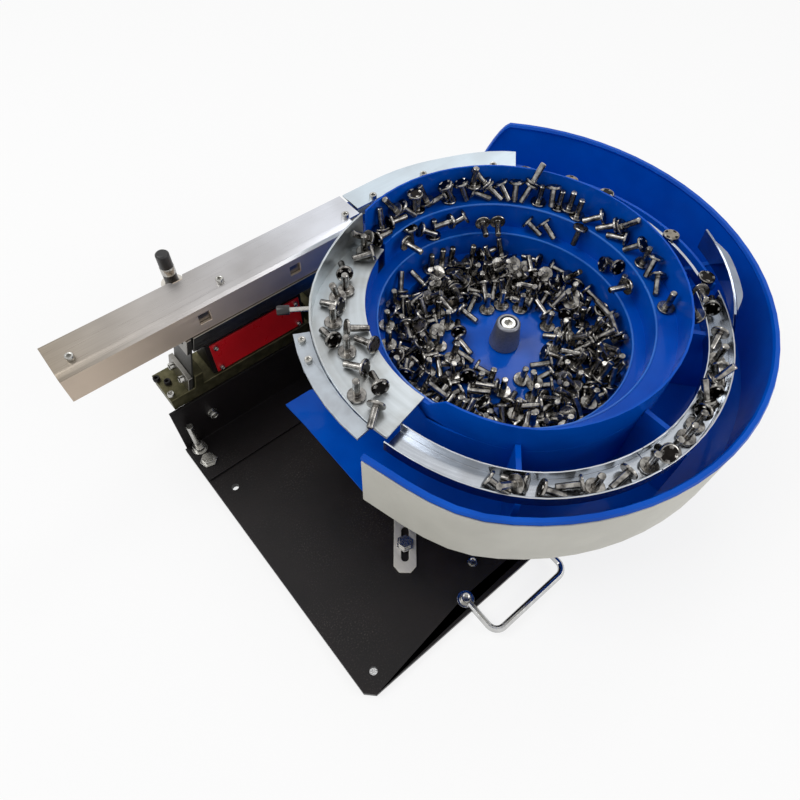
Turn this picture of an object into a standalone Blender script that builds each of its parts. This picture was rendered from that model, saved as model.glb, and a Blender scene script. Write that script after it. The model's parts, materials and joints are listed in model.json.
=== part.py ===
"""Vibratory bowl feeder: spiral bowl on a leaf-spring drive, with a linear feeder beside it.

Sizes are in millimetres and MM turns them into Blender's metres. The origin is on the bowl's axis at
the underside of the base plate, +X runs along the linear track towards the bowl, and +Z is up.
"""
import math

import bmesh
import bpy
from mathutils import Matrix, Vector

MM = 0.001

# Fits
GAP = 0.3                 # clearance between pieces that touch
HOLE_PLAY = 0.6           # a clearance hole is this much wider than its screw

# Base plate
PLATE_LEFT = -328.0
PLATE_RIGHT = 188.0
PLATE_FRONT = -174.0
PLATE_REAR = 182.0
PLATE_THICK = 8.0
PLATE_CHAMFER = 9.0
PLATE_HOLE_DIA = 8.5
PLATE_HOLE_INSET_X = 20.0
PLATE_HOLE_INSET_Y = 19.0
PLATE_REAR_HOLE_INSET = 80.0

# Carry handle
HANDLE_LEFT = -191.0
HANDLE_CENTRES = 105.0
HANDLE_REACH = 33.0
HANDLE_ROD_DIA = 7.5
HANDLE_CORNER = 11.0
HANDLE_EYE_DIA = 18.0
HANDLE_EYE_THICK = 4.0
HANDLE_EYE_INSET = 12.0
HANDLE_SCREW_DIA = 6.0

# Stand of the linear feeder
STAND_LEFT = -326.0
STAND_RIGHT = -62.0
STAND_THICK = 3.0
STAND_FLANGE = 56.0
STAND_TOP = 84.7
STAND_BOLT_DIA = 8.0
STAND_BOLT_INSET = 12.0
STAND_BOLT_BACK = 33.0
STUD_BACK = 12.5
STUD_TOP = 62.0
WALL_SCREW_DIA = 6.0
WALL_SCREW_Z = 50.0
WALL_SCREW_LEFT = -282.7
WALL_SCREW_RIGHT = -135.0

# Linear drive
FEEDER_NEAR = 181.5
FEEDER_WIDTH = 44.5
BASE_LEFT = -318.0
BASE_RIGHT = -104.0
BASE_THICK = 16.6
BLOCK_LEFT = -300.0
BLOCK_RIGHT = -118.0
BLOCK_BOTTOM = 30.0
TAB_LENGTH = 10.0
TAB_HEIGHT = 17.0
LEAF_TILT = 14.0
LEAF_THICK = 2.0
LEAF_SIDE_INSET = 3.0
LEAF_LEFT_FOOT = -290.0
LEAF_RIGHT_FOOT = -126.0
CLAMP_THICK = 5.0
CLAMP_BOLT_DIA = 5.0
CLAMP_BOLT_INSET = 11.0
TOP_BAR_BOTTOM = 154.0
TOP_BAR_THICK = 18.0
HOUSING_LEFT = -263.0
HOUSING_RIGHT = -141.0
HOUSING_INSET = 4.0
HOUSING_WALL = 2.0
HOUSING_TOP = 148.0
SIDE_COVER_LEFT = -258.0
SIDE_COVER_RIGHT = -145.0
SIDE_COVER_BOTTOM = 103.0
SIDE_COVER_TOP = 147.0
SIDE_COVER_THICK = 1.6
SIDE_SCREW_DIA = 3.0
SIDE_SCREW_INSET = 5.5
LINEAR_COIL_LENGTH = 60.0
LINEAR_COIL_WIDTH = 26.0
LINEAR_COIL_HEIGHT = 34.0
LINEAR_AIR_GAP = 1.6

# Linear track
TRACK_LEFT = -396.0
TRACK_RIGHT = -48.0
NEAR_PLATE_RIGHT = -62.0
TRACK_NEAR = 183.5
TRACK_PLATE_THICK = 3.2
TRACK_BOTTOM = 172.6
SLOT_Y = 214.0
SLOT_WIDTH = 8.0
SLOT_DEPTH = 22.0
RAIL_TOP = 198.0
HEAD_ROOM = 8.0
FAR_RAIL_WIDTH = 7.0
WINDOW_SIZE = 13.0
WINDOW_SILL = 10.0
WINDOW_XS = (-252.0, -143.0)
COVER_THICK = 2.0
COVER_OVERHANG = 2.5
COVER_NOTCH_X = -254.0
COVER_NOTCH_WIDTH = 16.0
COVER_NOTCH_DEPTH = 6.0
COVER_SCREW_XS = (-377.0, -221.0, -64.0)
COVER_SCREW_DIA = 5.0
COVER_BORE_DEPTH = 12.0
SENSOR_DIA = 14.0
SENSOR_OUT = 17.0
SENSOR_TOP = 231.0
SENSOR_LENGTH = 72.0
SENSOR_BRACKET_Z = 188.0
SENSOR_BRACKET_THICK = 3.0

# Bowl drive
FOOT_RADIUS = 140.0
FOOT_DIA = 28.0
FOOT_START = -178.8
STRAP_THICK = 3.0
STRAP_WIDTH = 24.5
STRAP_HEADINGS = (-130.0, 2.0, -2.0)
STRAP_BOLT_OUT = 95.0
STRAP_TIP = 32.0
STRAP_SLOT_LENGTH = 40.0
FOOT_HEIGHT = 13.4
DRIVE_BASE_DIA = 310.0
DRIVE_BASE_THICK = 20.0
SPRING_COUNT = 4
SPRING_RADIUS = 112.0
SPRING_TILT = 20.0
SPRING_THICK = 3.0
SPRING_WIDTH = 36.0
SPRING_START = 20.0
SPRING_GRIP = 14.0
SPRING_BLOCK = 18.0
SPRING_CLAMP = 5.0
SPRING_SEAT_OVERLAP = 2.0
SPRING_BOLT_DIA = 6.0
MAGNET_SIZE = 70.0
MAGNET_DEPTH = 44.0
MAGNET_HEIGHT = 34.0
AIR_GAP = 2.4
ARMATURE_THICK = 12.0
TOP_PLATE_DIA = 300.0
TOP_PLATE_THICK = 12.0
TOP_PLATE_BOTTOM = 94.7
HUB_DIA = 120.0

# Bowl
BOWL_FLOOR_Z = 127.0
FLOOR_CROWN = 5.0
SHEET = 2.0
FLIGHT_START = -276.0     # spiral angle of the track's first point, degrees
FLIGHT_END = 637.0        # spiral angle where the tray takes over
SPIRAL_ZERO = -165.0      # azimuth of spiral angle 0
LIP_RADIUS = 128.0
LIP_GROWTH = 0.038        # per degree of spiral
PITCH = 30.0
WALL_HEIGHT = 36.0        # of the outer wall above its track
RIM_START = 360.0         # spiral angle where the outer wall begins
RIM_STEP_OUT = 7.6
RIM_STEP_SPAN = 40.0
RIM_GROWTH = 0.005
SPIRAL_STEP = 6.0
SKIRT_CLEARANCE = 3.2     # keeps the skirt off the bowl's wall where the outer turn begins
NUT_TOP_DIA = 26.0
NUT_FOOT_DIA = 33.0
NUT_HEIGHT = 33.0
NUT_SCREW_DIA = 10.0
NUT_HEAD_DIA = 17.0
NUT_HEAD_HEIGHT = 10.0
SOCKET_AF = 8.0

# Tray and its guide
TRAY_START = 112.6
TRAY_END = 192.4
TRAY_TOP = 201.0
TRAY_SHEET = 2.0
TRAY_OUT_MIDDLE = 205.0
TRAY_OUTLINE = ((112.6, 175.5), (121.0, 184.0), (127.0, 189.0), (132.5, 194.0), (138.0, 199.0), (145.0, 203.5),
                (152.0, 205.8), (160.0, 205.8), (192.4, 206.0))   # azimuth and radius of its outer wall
TRAY_RIM = ((112.6, 238.5), (150.0, 212.5), (178.0, 203.5), (192.4, 202.5))   # azimuth and height of that wall
GUIDE_START = 153.0
GUIDE_END = 187.5
GUIDE_WIDTH = 16.5
GUIDE_THICK = 3.0
GUIDE_SCREWS = (156.0, 162.5)
GUIDE_SCREW_DIA = 4.0
GUIDE_ARM_WIDTH = 30.0
GUIDE_ARM_DEPTH = 34.0
GUIDE_ARM_TIP = 10.0
NOZZLE_AZIMUTH = 146.0
NOZZLE_DIA = 5.0
NOZZLE_FITTING_DIA = 8.0
NOZZLE_LENGTH = 20.0

# Return pan
PAN_X = 30.0
PAN_Y = 40.0
PAN_RADIUS = 285.0
PAN_WALL = 2.5
PAN_FLOOR_THICK = 3.0
PAN_RIM_Z = 183.0
PAN_LIP = 3.6
PAN_START = -163.0        # angles about the pan's centre
PAN_END = 43.4
PAN_TAIL = 51.0
PAN_CURL = 16.0
PAN_CURL_SPAN = 26.0
PAN_STEP = 5.0
PAN_SEAT_DIA = 306.0
PAN_BORE_DIA = 200.0
TONGUE_AZIMUTH = 157.0
TONGUE_HEEL = 218.0
TONGUE_REACH = 28.0
TONGUE_FALL = 12.0
SKIN_DROP = 7.0
SKIN_THICK = 1.6

# Outer trough and hanging rails
TROUGH_START = -168.0
TROUGH_SPLIT = -100.0
TROUGH_END = -34.0
TROUGH_START_RADIUS = 198.0
TROUGH_RADIUS = 206.0
TROUGH_SETTLE = 45.0
TROUGH_WIDTH = 24.0
TROUGH_DEPTH = 13.0
TROUGH_TOP = 197.0
TROUGH_SHEET = 1.5
RAIL_CENTRE_Y = 2.0
RAIL_BAR_WIDTH = 10.0     # under the cover
RAIL_STRIP_WIDTH = 3.3    # in front of the cover
RAIL_WIDENING = (34.0, 42.0)   # angles between which the bars widen
RAIL_BAR_HEIGHT = 10.0
RAIL_START = -32.5
RAIL_END_X = -44.5
RIB_THICK = 5.0
TROUGH_RIBS = (-134.0, -89.0, -50.0)
RAIL_RIBS = (-22.0, 8.0, 40.0, 72.0, 97.0)
RIB_NOTCH_FLOOR = 172.0
DEFLECTOR_START = -47.0
DEFLECTOR_END = -16.0
DEFLECTOR_FOOT = (224.0, 239.5)   # radius at its start and end
DEFLECTOR_RIM = (213.5, 237.5)
DEFLECTOR_TOP = 214.0
DEFLECTOR_SHEET = 2.4
BOWL_COVER_START = 44.0
BOWL_COVER_IN = 12.5
BOWL_COVER_OUT = 16.0
BOWL_COVER_FLARE = 8.0    # by which its start reaches further out
BOWL_COVER_FLARE_SPAN = 26.0
BOWL_COVER_ANGLES = (52.0, 76.0, 95.6)

# Derived heights
STRAP_BOTTOM = PLATE_THICK + GAP
FOOT_BOTTOM = STRAP_BOTTOM + STRAP_THICK + GAP
DRIVE_BOTTOM = FOOT_BOTTOM + FOOT_HEIGHT + GAP
DRIVE_TOP = DRIVE_BOTTOM + DRIVE_BASE_THICK
TOP_PLATE_TOP = TOP_PLATE_BOTTOM + TOP_PLATE_THICK
PAN_FLOOR_BOTTOM = TOP_PLATE_TOP + GAP
PAN_FLOOR_TOP = PAN_FLOOR_BOTTOM + PAN_FLOOR_THICK
FEEDER_FAR = FEEDER_NEAR + FEEDER_WIDTH
BASE_BOTTOM = STAND_TOP + GAP
BASE_TOP = BASE_BOTTOM + BASE_THICK
WALL_FRONT = PLATE_REAR - STAND_THICK
TOP_BAR_TOP = TOP_BAR_BOTTOM + TOP_BAR_THICK
SLOT_NEAR = SLOT_Y - SLOT_WIDTH / 2
SLOT_FAR = SLOT_Y + SLOT_WIDTH / 2
BODY_NEAR = TRACK_NEAR + TRACK_PLATE_THICK + GAP
BODY_FAR = SLOT_FAR + FAR_RAIL_WIDTH
FAR_PLATE_NEAR = BODY_FAR + GAP
FAR_PLATE_FAR = FAR_PLATE_NEAR + TRACK_PLATE_THICK
COVER_BOTTOM = RAIL_TOP + HEAD_ROOM + GAP
COVER_TOP = COVER_BOTTOM + COVER_THICK
RAIL_RADIUS = SLOT_Y - RAIL_CENTRE_Y
TROUGH_FLOOR = TROUGH_TOP - TROUGH_DEPTH


def fresh_collection(name):
    """Return a new collection linked to the scene."""
    collection = bpy.data.collections.new(name)
    bpy.context.scene.collection.children.link(collection)
    return collection


for leftover in list(bpy.data.objects):
    bpy.data.objects.remove(leftover, do_unlink=True)
PARTS = fresh_collection("vibratory_bowl_feeder")
CUTTERS = fresh_collection("cutters")


def carrier(name, location=(0.0, 0.0, 0.0)):
    """Return an empty on a joint's axis that carries moving pieces."""
    empty = bpy.data.objects.new(name, None)
    empty.location = Vector(location) * MM
    PARTS.objects.link(empty)
    return empty


FRAME = carrier("fixed_frame")
DRIVE_AXIS = carrier("drive_axis")
BOWL_AXIS = carrier("bowl_axis")
LINEAR_AXIS = carrier("linear_axis", (LEAF_LEFT_FOOT, FEEDER_NEAR, BASE_TOP))


def paint(name, colour, roughness, metallic):
    """Return a Principled material."""
    material = bpy.data.materials.new(name)
    material.use_nodes = True
    shader = material.node_tree.nodes["Principled BSDF"]
    shader.inputs["Base Color"].default_value = (*colour, 1.0)
    shader.inputs["Roughness"].default_value = roughness
    shader.inputs["Metallic"].default_value = metallic
    return material


FINISHES = {
    "blue_coat": ((0.003, 0.075, 0.52), 0.3, 0.0),
    "cream_coat": ((0.58, 0.57, 0.50), 0.5, 0.0),
    "black_coat": ((0.013, 0.011, 0.012), 0.45, 0.0),
    "red_coat": ((0.27, 0.007, 0.009), 0.4, 0.0),
    "stainless": ((0.52, 0.50, 0.47), 0.32, 1.0),
    "frosted_aluminium": ((0.56, 0.60, 0.62), 0.42, 1.0),
    "ground_steel": ((0.33, 0.32, 0.30), 0.38, 1.0),
    "zinc_steel": ((0.45, 0.43, 0.30), 0.4, 1.0),
    "chrome": ((0.72, 0.72, 0.72), 0.15, 1.0),
    "rubber": ((0.02, 0.02, 0.02), 0.8, 0.0),
    "winding": ((0.30, 0.10, 0.03), 0.45, 0.3),
    "spring_laminate": ((0.02, 0.02, 0.018), 0.5, 0.0),
}


def dress(item, finish, parent):
    """Give an object its own material and its carrier."""
    colour, roughness, metallic = FINISHES[finish]
    item.data.materials.clear()
    item.data.materials.append(paint(item.name + "_" + finish, colour, roughness, metallic))
    item.parent = parent
    item.matrix_parent_inverse = Matrix.Translation(-parent.location)
    return item


def place(name, data, matrix=None, collection=None):
    """Link an object holding the given data."""
    item = bpy.data.objects.new(name, data)
    (collection or PARTS).objects.link(item)
    if matrix is not None:
        item.matrix_world = matrix
    return item


def metres(matrix):
    """Return a placement whose translation was given in millimetres."""
    result = matrix.copy()
    result.translation = matrix.translation * MM
    return result


def mesh_from(name, shape):
    """Turn a bmesh in millimetres into a mesh in metres with outward faces."""
    bmesh.ops.recalc_face_normals(shape, faces=shape.faces)
    bmesh.ops.scale(shape, vec=(MM, MM, MM), verts=shape.verts)
    mesh = bpy.data.meshes.new(name)
    shape.to_mesh(mesh)
    shape.free()
    mesh.shade_smooth()
    mesh.set_sharp_from_angle(angle=math.radians(35.0))
    return mesh


def add_box(shape, low, high):
    """Add an axis-aligned box to a bmesh."""
    low, high = Vector(low), Vector(high)
    middle = (low + high) / 2
    size = high - low
    matrix = Matrix.Translation(middle) @ Matrix.Diagonal((*size, 1.0))
    return bmesh.ops.create_cube(shape, size=1.0, matrix=matrix)["verts"]


def add_round(shape, foot, axis, length, radius, top_radius=None, sides=24):
    """Add a cylinder or cone that starts at foot and runs along axis."""
    turn = Vector((0, 0, 1)).rotation_difference(Vector(axis)).to_matrix().to_4x4()
    centre = Vector(foot) + Vector(axis).normalized() * length / 2
    bmesh.ops.create_cone(shape, cap_ends=True, segments=sides, radius1=radius,
                          radius2=radius if top_radius is None else top_radius, depth=length,
                          matrix=Matrix.Translation(centre) @ turn)


def box(name, low, high, finish, parent, bevel=0.0):
    """Make a box node, with its edges rounded where bevel is given."""
    shape = bmesh.new()
    add_box(shape, low, high)
    item = place(name, mesh_from(name, shape))
    if bevel:
        rounding = item.modifiers.new("edges", "BEVEL")
        rounding.width = bevel * MM
        rounding.segments = 2
    return dress(item, finish, parent)


def post(name, foot, axis, length, radius, finish, parent):
    """Make a plain round node that starts at foot and runs along axis."""
    shape = bmesh.new()
    add_round(shape, foot, axis, length, radius)
    return dress(place(name, mesh_from(name, shape)), finish, parent)


def cutter(name, build):
    """Make a hidden cutter from a function that fills a bmesh."""
    shape = bmesh.new()
    build(shape)
    item = place(name, mesh_from(name, shape), collection=CUTTERS)
    item.hide_render = True
    item.display_type = "WIRE"
    return item


def drill(name, holes):
    """Make a cutter of cylinders, each given as foot, axis, length and radius."""
    def build(shape):
        for foot, axis, length, radius in holes:
            add_round(shape, foot, axis, length, radius, sides=12)
    return cutter(name, build)


def boolean(item, tool, operation="DIFFERENCE"):
    """Cut or join an object with a hidden tool."""
    step = item.modifiers.new(operation.lower(), "BOOLEAN")
    step.operation = operation
    step.solver = "EXACT"
    step.object = tool
    return item


def arc(cx, cy, radius, start, end, step=5.0):
    """Return the points of an arc, with both ends, in degrees."""
    count = max(2, math.ceil(abs(end - start) / step))
    angles = [math.radians(start + (end - start) * i / count) for i in range(count + 1)]
    return [(cx + radius * math.cos(a), cy + radius * math.sin(a)) for a in angles]


def flat(name, outlines, thickness, finish, parent, matrix=None, solid=False):
    """Make a flat node from closed outlines, the first the rim and the rest its holes.

    The outline lies in the placement's XY plane and the material is on its +Z side. A piece that is
    cut later is turned into a welded mesh.
    """
    curve = bpy.data.curves.new(name, "CURVE")
    curve.dimensions = "2D"
    curve.fill_mode = "BOTH"
    curve.extrude = thickness * MM / 2
    for points in outlines:
        spline = curve.splines.new("POLY")
        spline.points.add(len(points) - 1)
        for knot, (x, y) in zip(spline.points, points):
            knot.co = (x * MM, y * MM, 0.0, 1.0)
        spline.use_cyclic_u = True
    base = metres(matrix) if matrix is not None else Matrix.Identity(4)
    world = base @ Matrix.Translation((0.0, 0.0, thickness * MM / 2))
    item = place(name, curve, world)
    if solid:
        item = welded(item)
    return dress(item, finish, parent)


def welded(item):
    """Replace a curve object by its mesh, with the caps welded on."""
    bpy.context.view_layer.update()
    evaluated = item.evaluated_get(bpy.context.evaluated_depsgraph_get())
    mesh = bpy.data.meshes.new_from_object(evaluated)
    shape = bmesh.new()
    shape.from_mesh(mesh)
    bmesh.ops.remove_doubles(shape, verts=shape.verts, dist=0.00001)
    bmesh.ops.recalc_face_normals(shape, faces=shape.faces)
    shape.to_mesh(mesh)
    shape.free()
    name, world = item.name, item.matrix_world.copy()
    bpy.data.objects.remove(item, do_unlink=True)
    return place(name, mesh, world)


def level(z):
    """Return the placement of a level plate whose underside is at z."""
    return Matrix.Translation((0.0, 0.0, z))


def upright(y):
    """Return the placement of a plate drawn in X and Z whose near face is at y."""
    turn = Matrix(((1, 0, 0, 0), (0, 0, 1, 0), (0, 1, 0, 0), (0, 0, 0, 1)))
    return Matrix.Translation((0.0, y, 0.0)) @ turn


def crosswise(x):
    """Return the placement of a profile drawn in Y and Z that runs along +X from x."""
    turn = Matrix(((0, 0, 1, 0), (1, 0, 0, 0), (0, 1, 0, 0), (0, 0, 0, 1)))
    return Matrix.Translation((x, 0.0, 0.0)) @ turn


def radial(azimuth, thickness):
    """Return the placement of a plate drawn in radius and Z, centred on an azimuth."""
    spin = Matrix.Rotation(math.radians(azimuth), 4, "Z")
    turn = Matrix(((1, 0, 0, 0), (0, 0, -1, 0), (0, 1, 0, 0), (0, 0, 0, 1)))
    return spin @ Matrix.Translation((0.0, thickness / 2, 0.0)) @ turn


def turned(name, profile, finish, parent, sides=48, at=(0.0, 0.0)):
    """Turn a profile of radius and height, listed from its top down its outer side."""
    mesh = bpy.data.meshes.new(name)
    points = [(r * MM, 0.0, z * MM) for r, z in profile]
    closed = profile[0][0] > 0
    edges = [(i, i + 1) for i in range(len(points) - 1)]
    if closed:
        edges.append((len(points) - 1, 0))
    mesh.from_pydata(points, edges, [])
    item = place(name, mesh, Matrix.Translation((at[0] * MM, at[1] * MM, 0.0)))
    spin = item.modifiers.new("turn", "SCREW")
    spin.steps = sides
    spin.render_steps = sides
    spin.use_merge_vertices = True
    spin.merge_threshold = 0.00001
    spin.use_smooth_shade = True
    return dress(item, finish, parent)


def shell(name, rows, thickness, finish, parent, closed=False, offset=0.0):
    """Loft an open surface through rows of points and give it a thickness."""
    shape = bmesh.new()
    grid = [[shape.verts.new(Vector(p)) for p in row] for row in rows]
    pairs = list(zip(grid, grid[1:]))
    if closed:
        pairs.append((grid[-1], grid[0]))
    for near, far in pairs:
        for i in range(len(near) - 1):
            shape.faces.new((near[i], near[i + 1], far[i + 1], far[i]))
    item = place(name, mesh_from(name, shape))
    thicken(item, thickness, offset)
    return dress(item, finish, parent)


def thicken(item, thickness, offset):
    """Give an open surface a thickness with Solidify and return the modifier."""
    wall = item.modifiers.new("sheet", "SOLIDIFY")
    wall.thickness = thickness * MM
    wall.offset = offset
    wall.use_even_offset = True
    return wall


def solid_loft(name, sections, finish, parent):
    """Loft a closed solid through closed sections, with both ends capped."""
    shape = bmesh.new()
    grid = [[shape.verts.new(Vector(p)) for p in section] for section in sections]
    count = len(sections[0])
    for near, far in zip(grid, grid[1:]):
        for i in range(count):
            j = (i + 1) % count
            shape.faces.new((near[i], near[j], far[j], far[i]))
    shape.faces.new(grid[0])
    shape.faces.new(grid[-1])
    return dress(place(name, mesh_from(name, shape)), finish, parent)


def polar(azimuth, radius, z):
    """Return a point about the bowl's axis."""
    a = math.radians(azimuth)
    return (radius * math.cos(a), radius * math.sin(a), z)


def ease(t):
    """Return a smooth step from 0 to 1."""
    t = min(1.0, max(0.0, t))
    return t * t * (3 - 2 * t)


def along(knots, x):
    """Return the value at x on the line through knots of x and value."""
    for (x0, y0), (x1, y1) in zip(knots, knots[1:]):
        if x <= x1:
            return y0 + (y1 - y0) * max(0.0, x - x0) / (x1 - x0)
    return knots[-1][1]


def lip_radius(angle):
    """Return the radius of the track's inner lip at a spiral angle."""
    return LIP_RADIUS + LIP_GROWTH * angle


def track_z(angle):
    """Return the height of the track at a spiral angle."""
    return BOWL_FLOOR_Z + PITCH * (angle - FLIGHT_START) / 360.0


def wall_radius(angle):
    """Return the radius of the wall outside the track at a spiral angle."""
    widening = 0.0
    if angle >= RIM_START:
        past = angle - RIM_START
        widening = RIM_STEP_OUT * ease(past / RIM_STEP_SPAN) + RIM_GROWTH * past
    return lip_radius(angle + 360.0) + widening


def spiral_point(angle, radius, z):
    """Return a point at a spiral angle."""
    return polar(SPIRAL_ZERO + angle, radius, z)


def bolts(name, seats, dia, grip, finish, parent):
    """Make a hexagon bolt with its washer at every seat of foot and axis, each its own node."""
    for number, (foot, axis) in enumerate(seats, 1):
        axis = Vector(axis).normalized()
        head, washer = dia * 0.95, dia * 0.18
        rings = [(dia / 2, grip), (dia / 2, 0.0), (head * 1.35, 0.0), (head * 1.35, -washer),
                 (head, -washer), (head, -washer - dia * 0.65)]
        shape = bmesh.new()
        add_rings(shape, Vector(foot) - axis * GAP, axis, rings, 6)
        own = "%s_%d" % (name, number)
        dress(place(own, mesh_from(own, shape)), finish, parent)


def add_rings(shape, foot, axis, rings, sides):
    """Add a closed solid through rings, each given as a radius and a distance along axis."""
    side = axis.orthogonal().normalized()
    other = axis.cross(side)
    loops = []
    for radius, along in rings:
        angles = [2 * math.pi * i / sides for i in range(sides)]
        spokes = [side * math.cos(a) + other * math.sin(a) for a in angles]
        loops.append([shape.verts.new(foot + axis * along + spoke * radius) for spoke in spokes])
    for near, far in zip(loops, loops[1:]):
        for i in range(sides):
            j = (i + 1) % sides
            shape.faces.new((near[i], near[j], far[j], far[i]))
    shape.faces.new(loops[0])
    shape.faces.new(loops[-1])


def build_base():
    """Make the base plate and its handle."""
    c = PLATE_CHAMFER
    outline = [(PLATE_LEFT + c, PLATE_FRONT), (PLATE_RIGHT - c, PLATE_FRONT), (PLATE_RIGHT, PLATE_FRONT + c),
               (PLATE_RIGHT, PLATE_REAR), (PLATE_LEFT, PLATE_REAR), (PLATE_LEFT, PLATE_FRONT + c)]
    holes = []
    for x in (PLATE_LEFT + PLATE_HOLE_INSET_X, PLATE_RIGHT - PLATE_HOLE_INSET_X):
        for y in (PLATE_FRONT + PLATE_HOLE_INSET_Y, PLATE_REAR - PLATE_REAR_HOLE_INSET):
            holes.append((x, y, PLATE_HOLE_DIA))
    for (x, y, _), _ in handle_seats():
        holes.append((x, y, HANDLE_SCREW_DIA + HOLE_PLAY))
    for (x, y, _), _ in stand_bolt_seats() + stud_seats():
        holes.append((x, y, STAND_BOLT_DIA + HOLE_PLAY))
    for (x, y, _), _ in strap_bolt_seats():
        holes.append((x, y, STAND_BOLT_DIA + HOLE_PLAY))
    circles = [arc(x, y, dia / 2, 0.0, 330.0, 30.0) for x, y, dia in holes]
    flat("base_plate", [outline] + circles, PLATE_THICK, "black_coat", FRAME)
    build_handle()


def handle_seats():
    """Return where the handle's screws seat."""
    y = PLATE_FRONT + HANDLE_EYE_INSET
    z = PLATE_THICK + GAP + HANDLE_EYE_THICK
    return [((x, y, z), (0, 0, -1)) for x in (HANDLE_LEFT, HANDLE_LEFT + HANDLE_CENTRES)]


def build_handle():
    """Make the bent rod handle with its two flattened eyes."""
    left, right = HANDLE_LEFT, HANDLE_LEFT + HANDLE_CENTRES
    back = PLATE_FRONT + HANDLE_EYE_INSET - HANDLE_EYE_DIA / 2 + 3.0
    front = PLATE_FRONT - HANDLE_REACH
    r = HANDLE_CORNER
    path = [(left, back)] + arc(left + r, front + r, r, 180.0, 270.0, 15.0)
    path += arc(right - r, front + r, r, 270.0, 360.0, 15.0) + [(right, back)]
    z = PLATE_THICK + GAP + HANDLE_ROD_DIA / 2
    rod = tube("carry_handle", [(x, y, z) for x, y in path], HANDLE_ROD_DIA / 2, "chrome", FRAME)

    def eyes(shape):
        for (x, y, top), axis in handle_seats():
            add_round(shape, (x, y, top), axis, HANDLE_EYE_THICK, HANDLE_EYE_DIA / 2)
    boolean(rod, cutter("handle_eyes", eyes), "UNION")
    reach = HANDLE_EYE_THICK + PLATE_THICK
    holes = [((x, y, z + 10.0), axis, reach + 20.0, (HANDLE_SCREW_DIA + HOLE_PLAY) / 2)
             for (x, y, z), axis in handle_seats()]
    boolean(rod, drill("handle_holes", holes))


def tube(name, points, radius, finish, parent, resolution=3):
    """Make a welded tube along a path."""
    curve = bpy.data.curves.new(name, "CURVE")
    curve.dimensions = "3D"
    curve.bevel_depth = radius * MM
    curve.bevel_resolution = resolution
    curve.use_fill_caps = True
    spline = curve.splines.new("POLY")
    spline.points.add(len(points) - 1)
    for knot, (x, y, z) in zip(spline.points, points):
        knot.co = (x * MM, y * MM, z * MM, 1.0)
    return dress(welded(place(name, curve)), finish, parent)


def stand_bolt_seats():
    """Return where the bolts of the stand's flange seat."""
    y = PLATE_REAR - STAND_BOLT_BACK
    z = STRAP_BOTTOM + STAND_THICK
    return [((x, y, z), (0, 0, -1)) for x in (STAND_LEFT + STAND_BOLT_INSET, STAND_RIGHT - STAND_BOLT_INSET)]


def stud_seats():
    """Return where the tall studs pass the stand's flange."""
    y = PLATE_REAR - STUD_BACK
    z = STRAP_BOTTOM + STAND_THICK
    return [((x, y, z), (0, 0, -1)) for x in (STAND_LEFT + STAND_BOLT_INSET, STAND_RIGHT - STAND_BOLT_INSET)]


def wall_screw_seats():
    """Return where the screws seat that hold the linear feeder on the stand's wall."""
    return [((x, WALL_FRONT, WALL_SCREW_Z), (0, 1, 0)) for x in (WALL_SCREW_LEFT, WALL_SCREW_RIGHT)]


def build_stand():
    """Make the bent stand, its bolts and studs, and the block behind its wall."""
    low, t = STRAP_BOTTOM, STAND_THICK
    front = PLATE_REAR - STAND_FLANGE
    profile = [(front, low), (PLATE_REAR, low), (PLATE_REAR, STAND_TOP), (WALL_FRONT, STAND_TOP),
               (WALL_FRONT, low + t), (front, low + t)]
    length = STAND_RIGHT - STAND_LEFT
    stand = flat("linear_stand", [profile], length, "black_coat", FRAME, crosswise(STAND_LEFT), solid=True)
    tall = [((x, y, STUD_TOP), (0, 0, -1), STUD_TOP + 5.0, STAND_BOLT_DIA / 2) for (x, y, _), _ in stud_seats()]
    short = [((x, y, z + 5.0), axis, z + 10.0, STAND_BOLT_DIA / 2) for (x, y, z), axis in stand_bolt_seats()]
    holes = [(foot, axis, reach, radius + HOLE_PLAY / 2) for foot, axis, reach, radius in tall + short]
    wall = [((x, y - 5.0, z), axis, STAND_THICK + 40.0, (WALL_SCREW_DIA + HOLE_PLAY) / 2)
            for (x, y, z), axis in wall_screw_seats()]
    boolean(stand, drill("stand_holes", holes + wall))
    grip = STAND_THICK + PLATE_THICK
    bolts("stand_bolt", stand_bolt_seats(), STAND_BOLT_DIA, grip - 1.0, "stainless", FRAME)
    bolts("strap_bolt", strap_bolt_seats(), STAND_BOLT_DIA, grip - 1.0, "stainless", FRAME)
    build_studs()
    reach = STAND_THICK + 16.0
    block = box("linear_base_block", (BLOCK_LEFT, PLATE_REAR + GAP, BLOCK_BOTTOM),
                (BLOCK_RIGHT, FEEDER_FAR, STAND_TOP), "black_coat", FRAME)
    pits = [((x, y, z), axis, reach + 3.0, (WALL_SCREW_DIA + HOLE_PLAY) / 2) for (x, y, z), axis in wall_screw_seats()]
    boolean(block, drill("block_holes", pits))


def build_studs():
    """Make the tall studs at the stand's corner, each with its clamping nut run on to it."""
    bar, nut, washer = STAND_BOLT_DIA / 2, STAND_BOLT_DIA * 0.9, STAND_BOLT_DIA * 1.15
    for number, ((x, y, z), _) in enumerate(stud_seats(), 1):
        rings = [(bar, 1.0), (bar, z + GAP), (washer, z + GAP), (washer, z + 1.8), (nut, z + 1.8),
                 (nut, z + 8.5), (bar, z + 8.5), (bar, STUD_TOP)]
        name = "stand_stud_%d" % number
        shape = bmesh.new()
        add_rings(shape, Vector((x, y, 0.0)), Vector((0, 0, 1)), rings, 12)
        dress(place(name, mesh_from(name, shape)), "stainless", FRAME)


def leaf_x(foot, z):
    """Return where a linear leaf spring's middle plane stands at a height."""
    return foot + (z - BASE_TOP) * math.tan(math.radians(LEAF_TILT))


def leaf_normal():
    """Return the direction square to the linear leaf springs, towards the bowl."""
    a = math.radians(LEAF_TILT)
    return Vector((math.cos(a), 0.0, -math.sin(a)))


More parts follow.
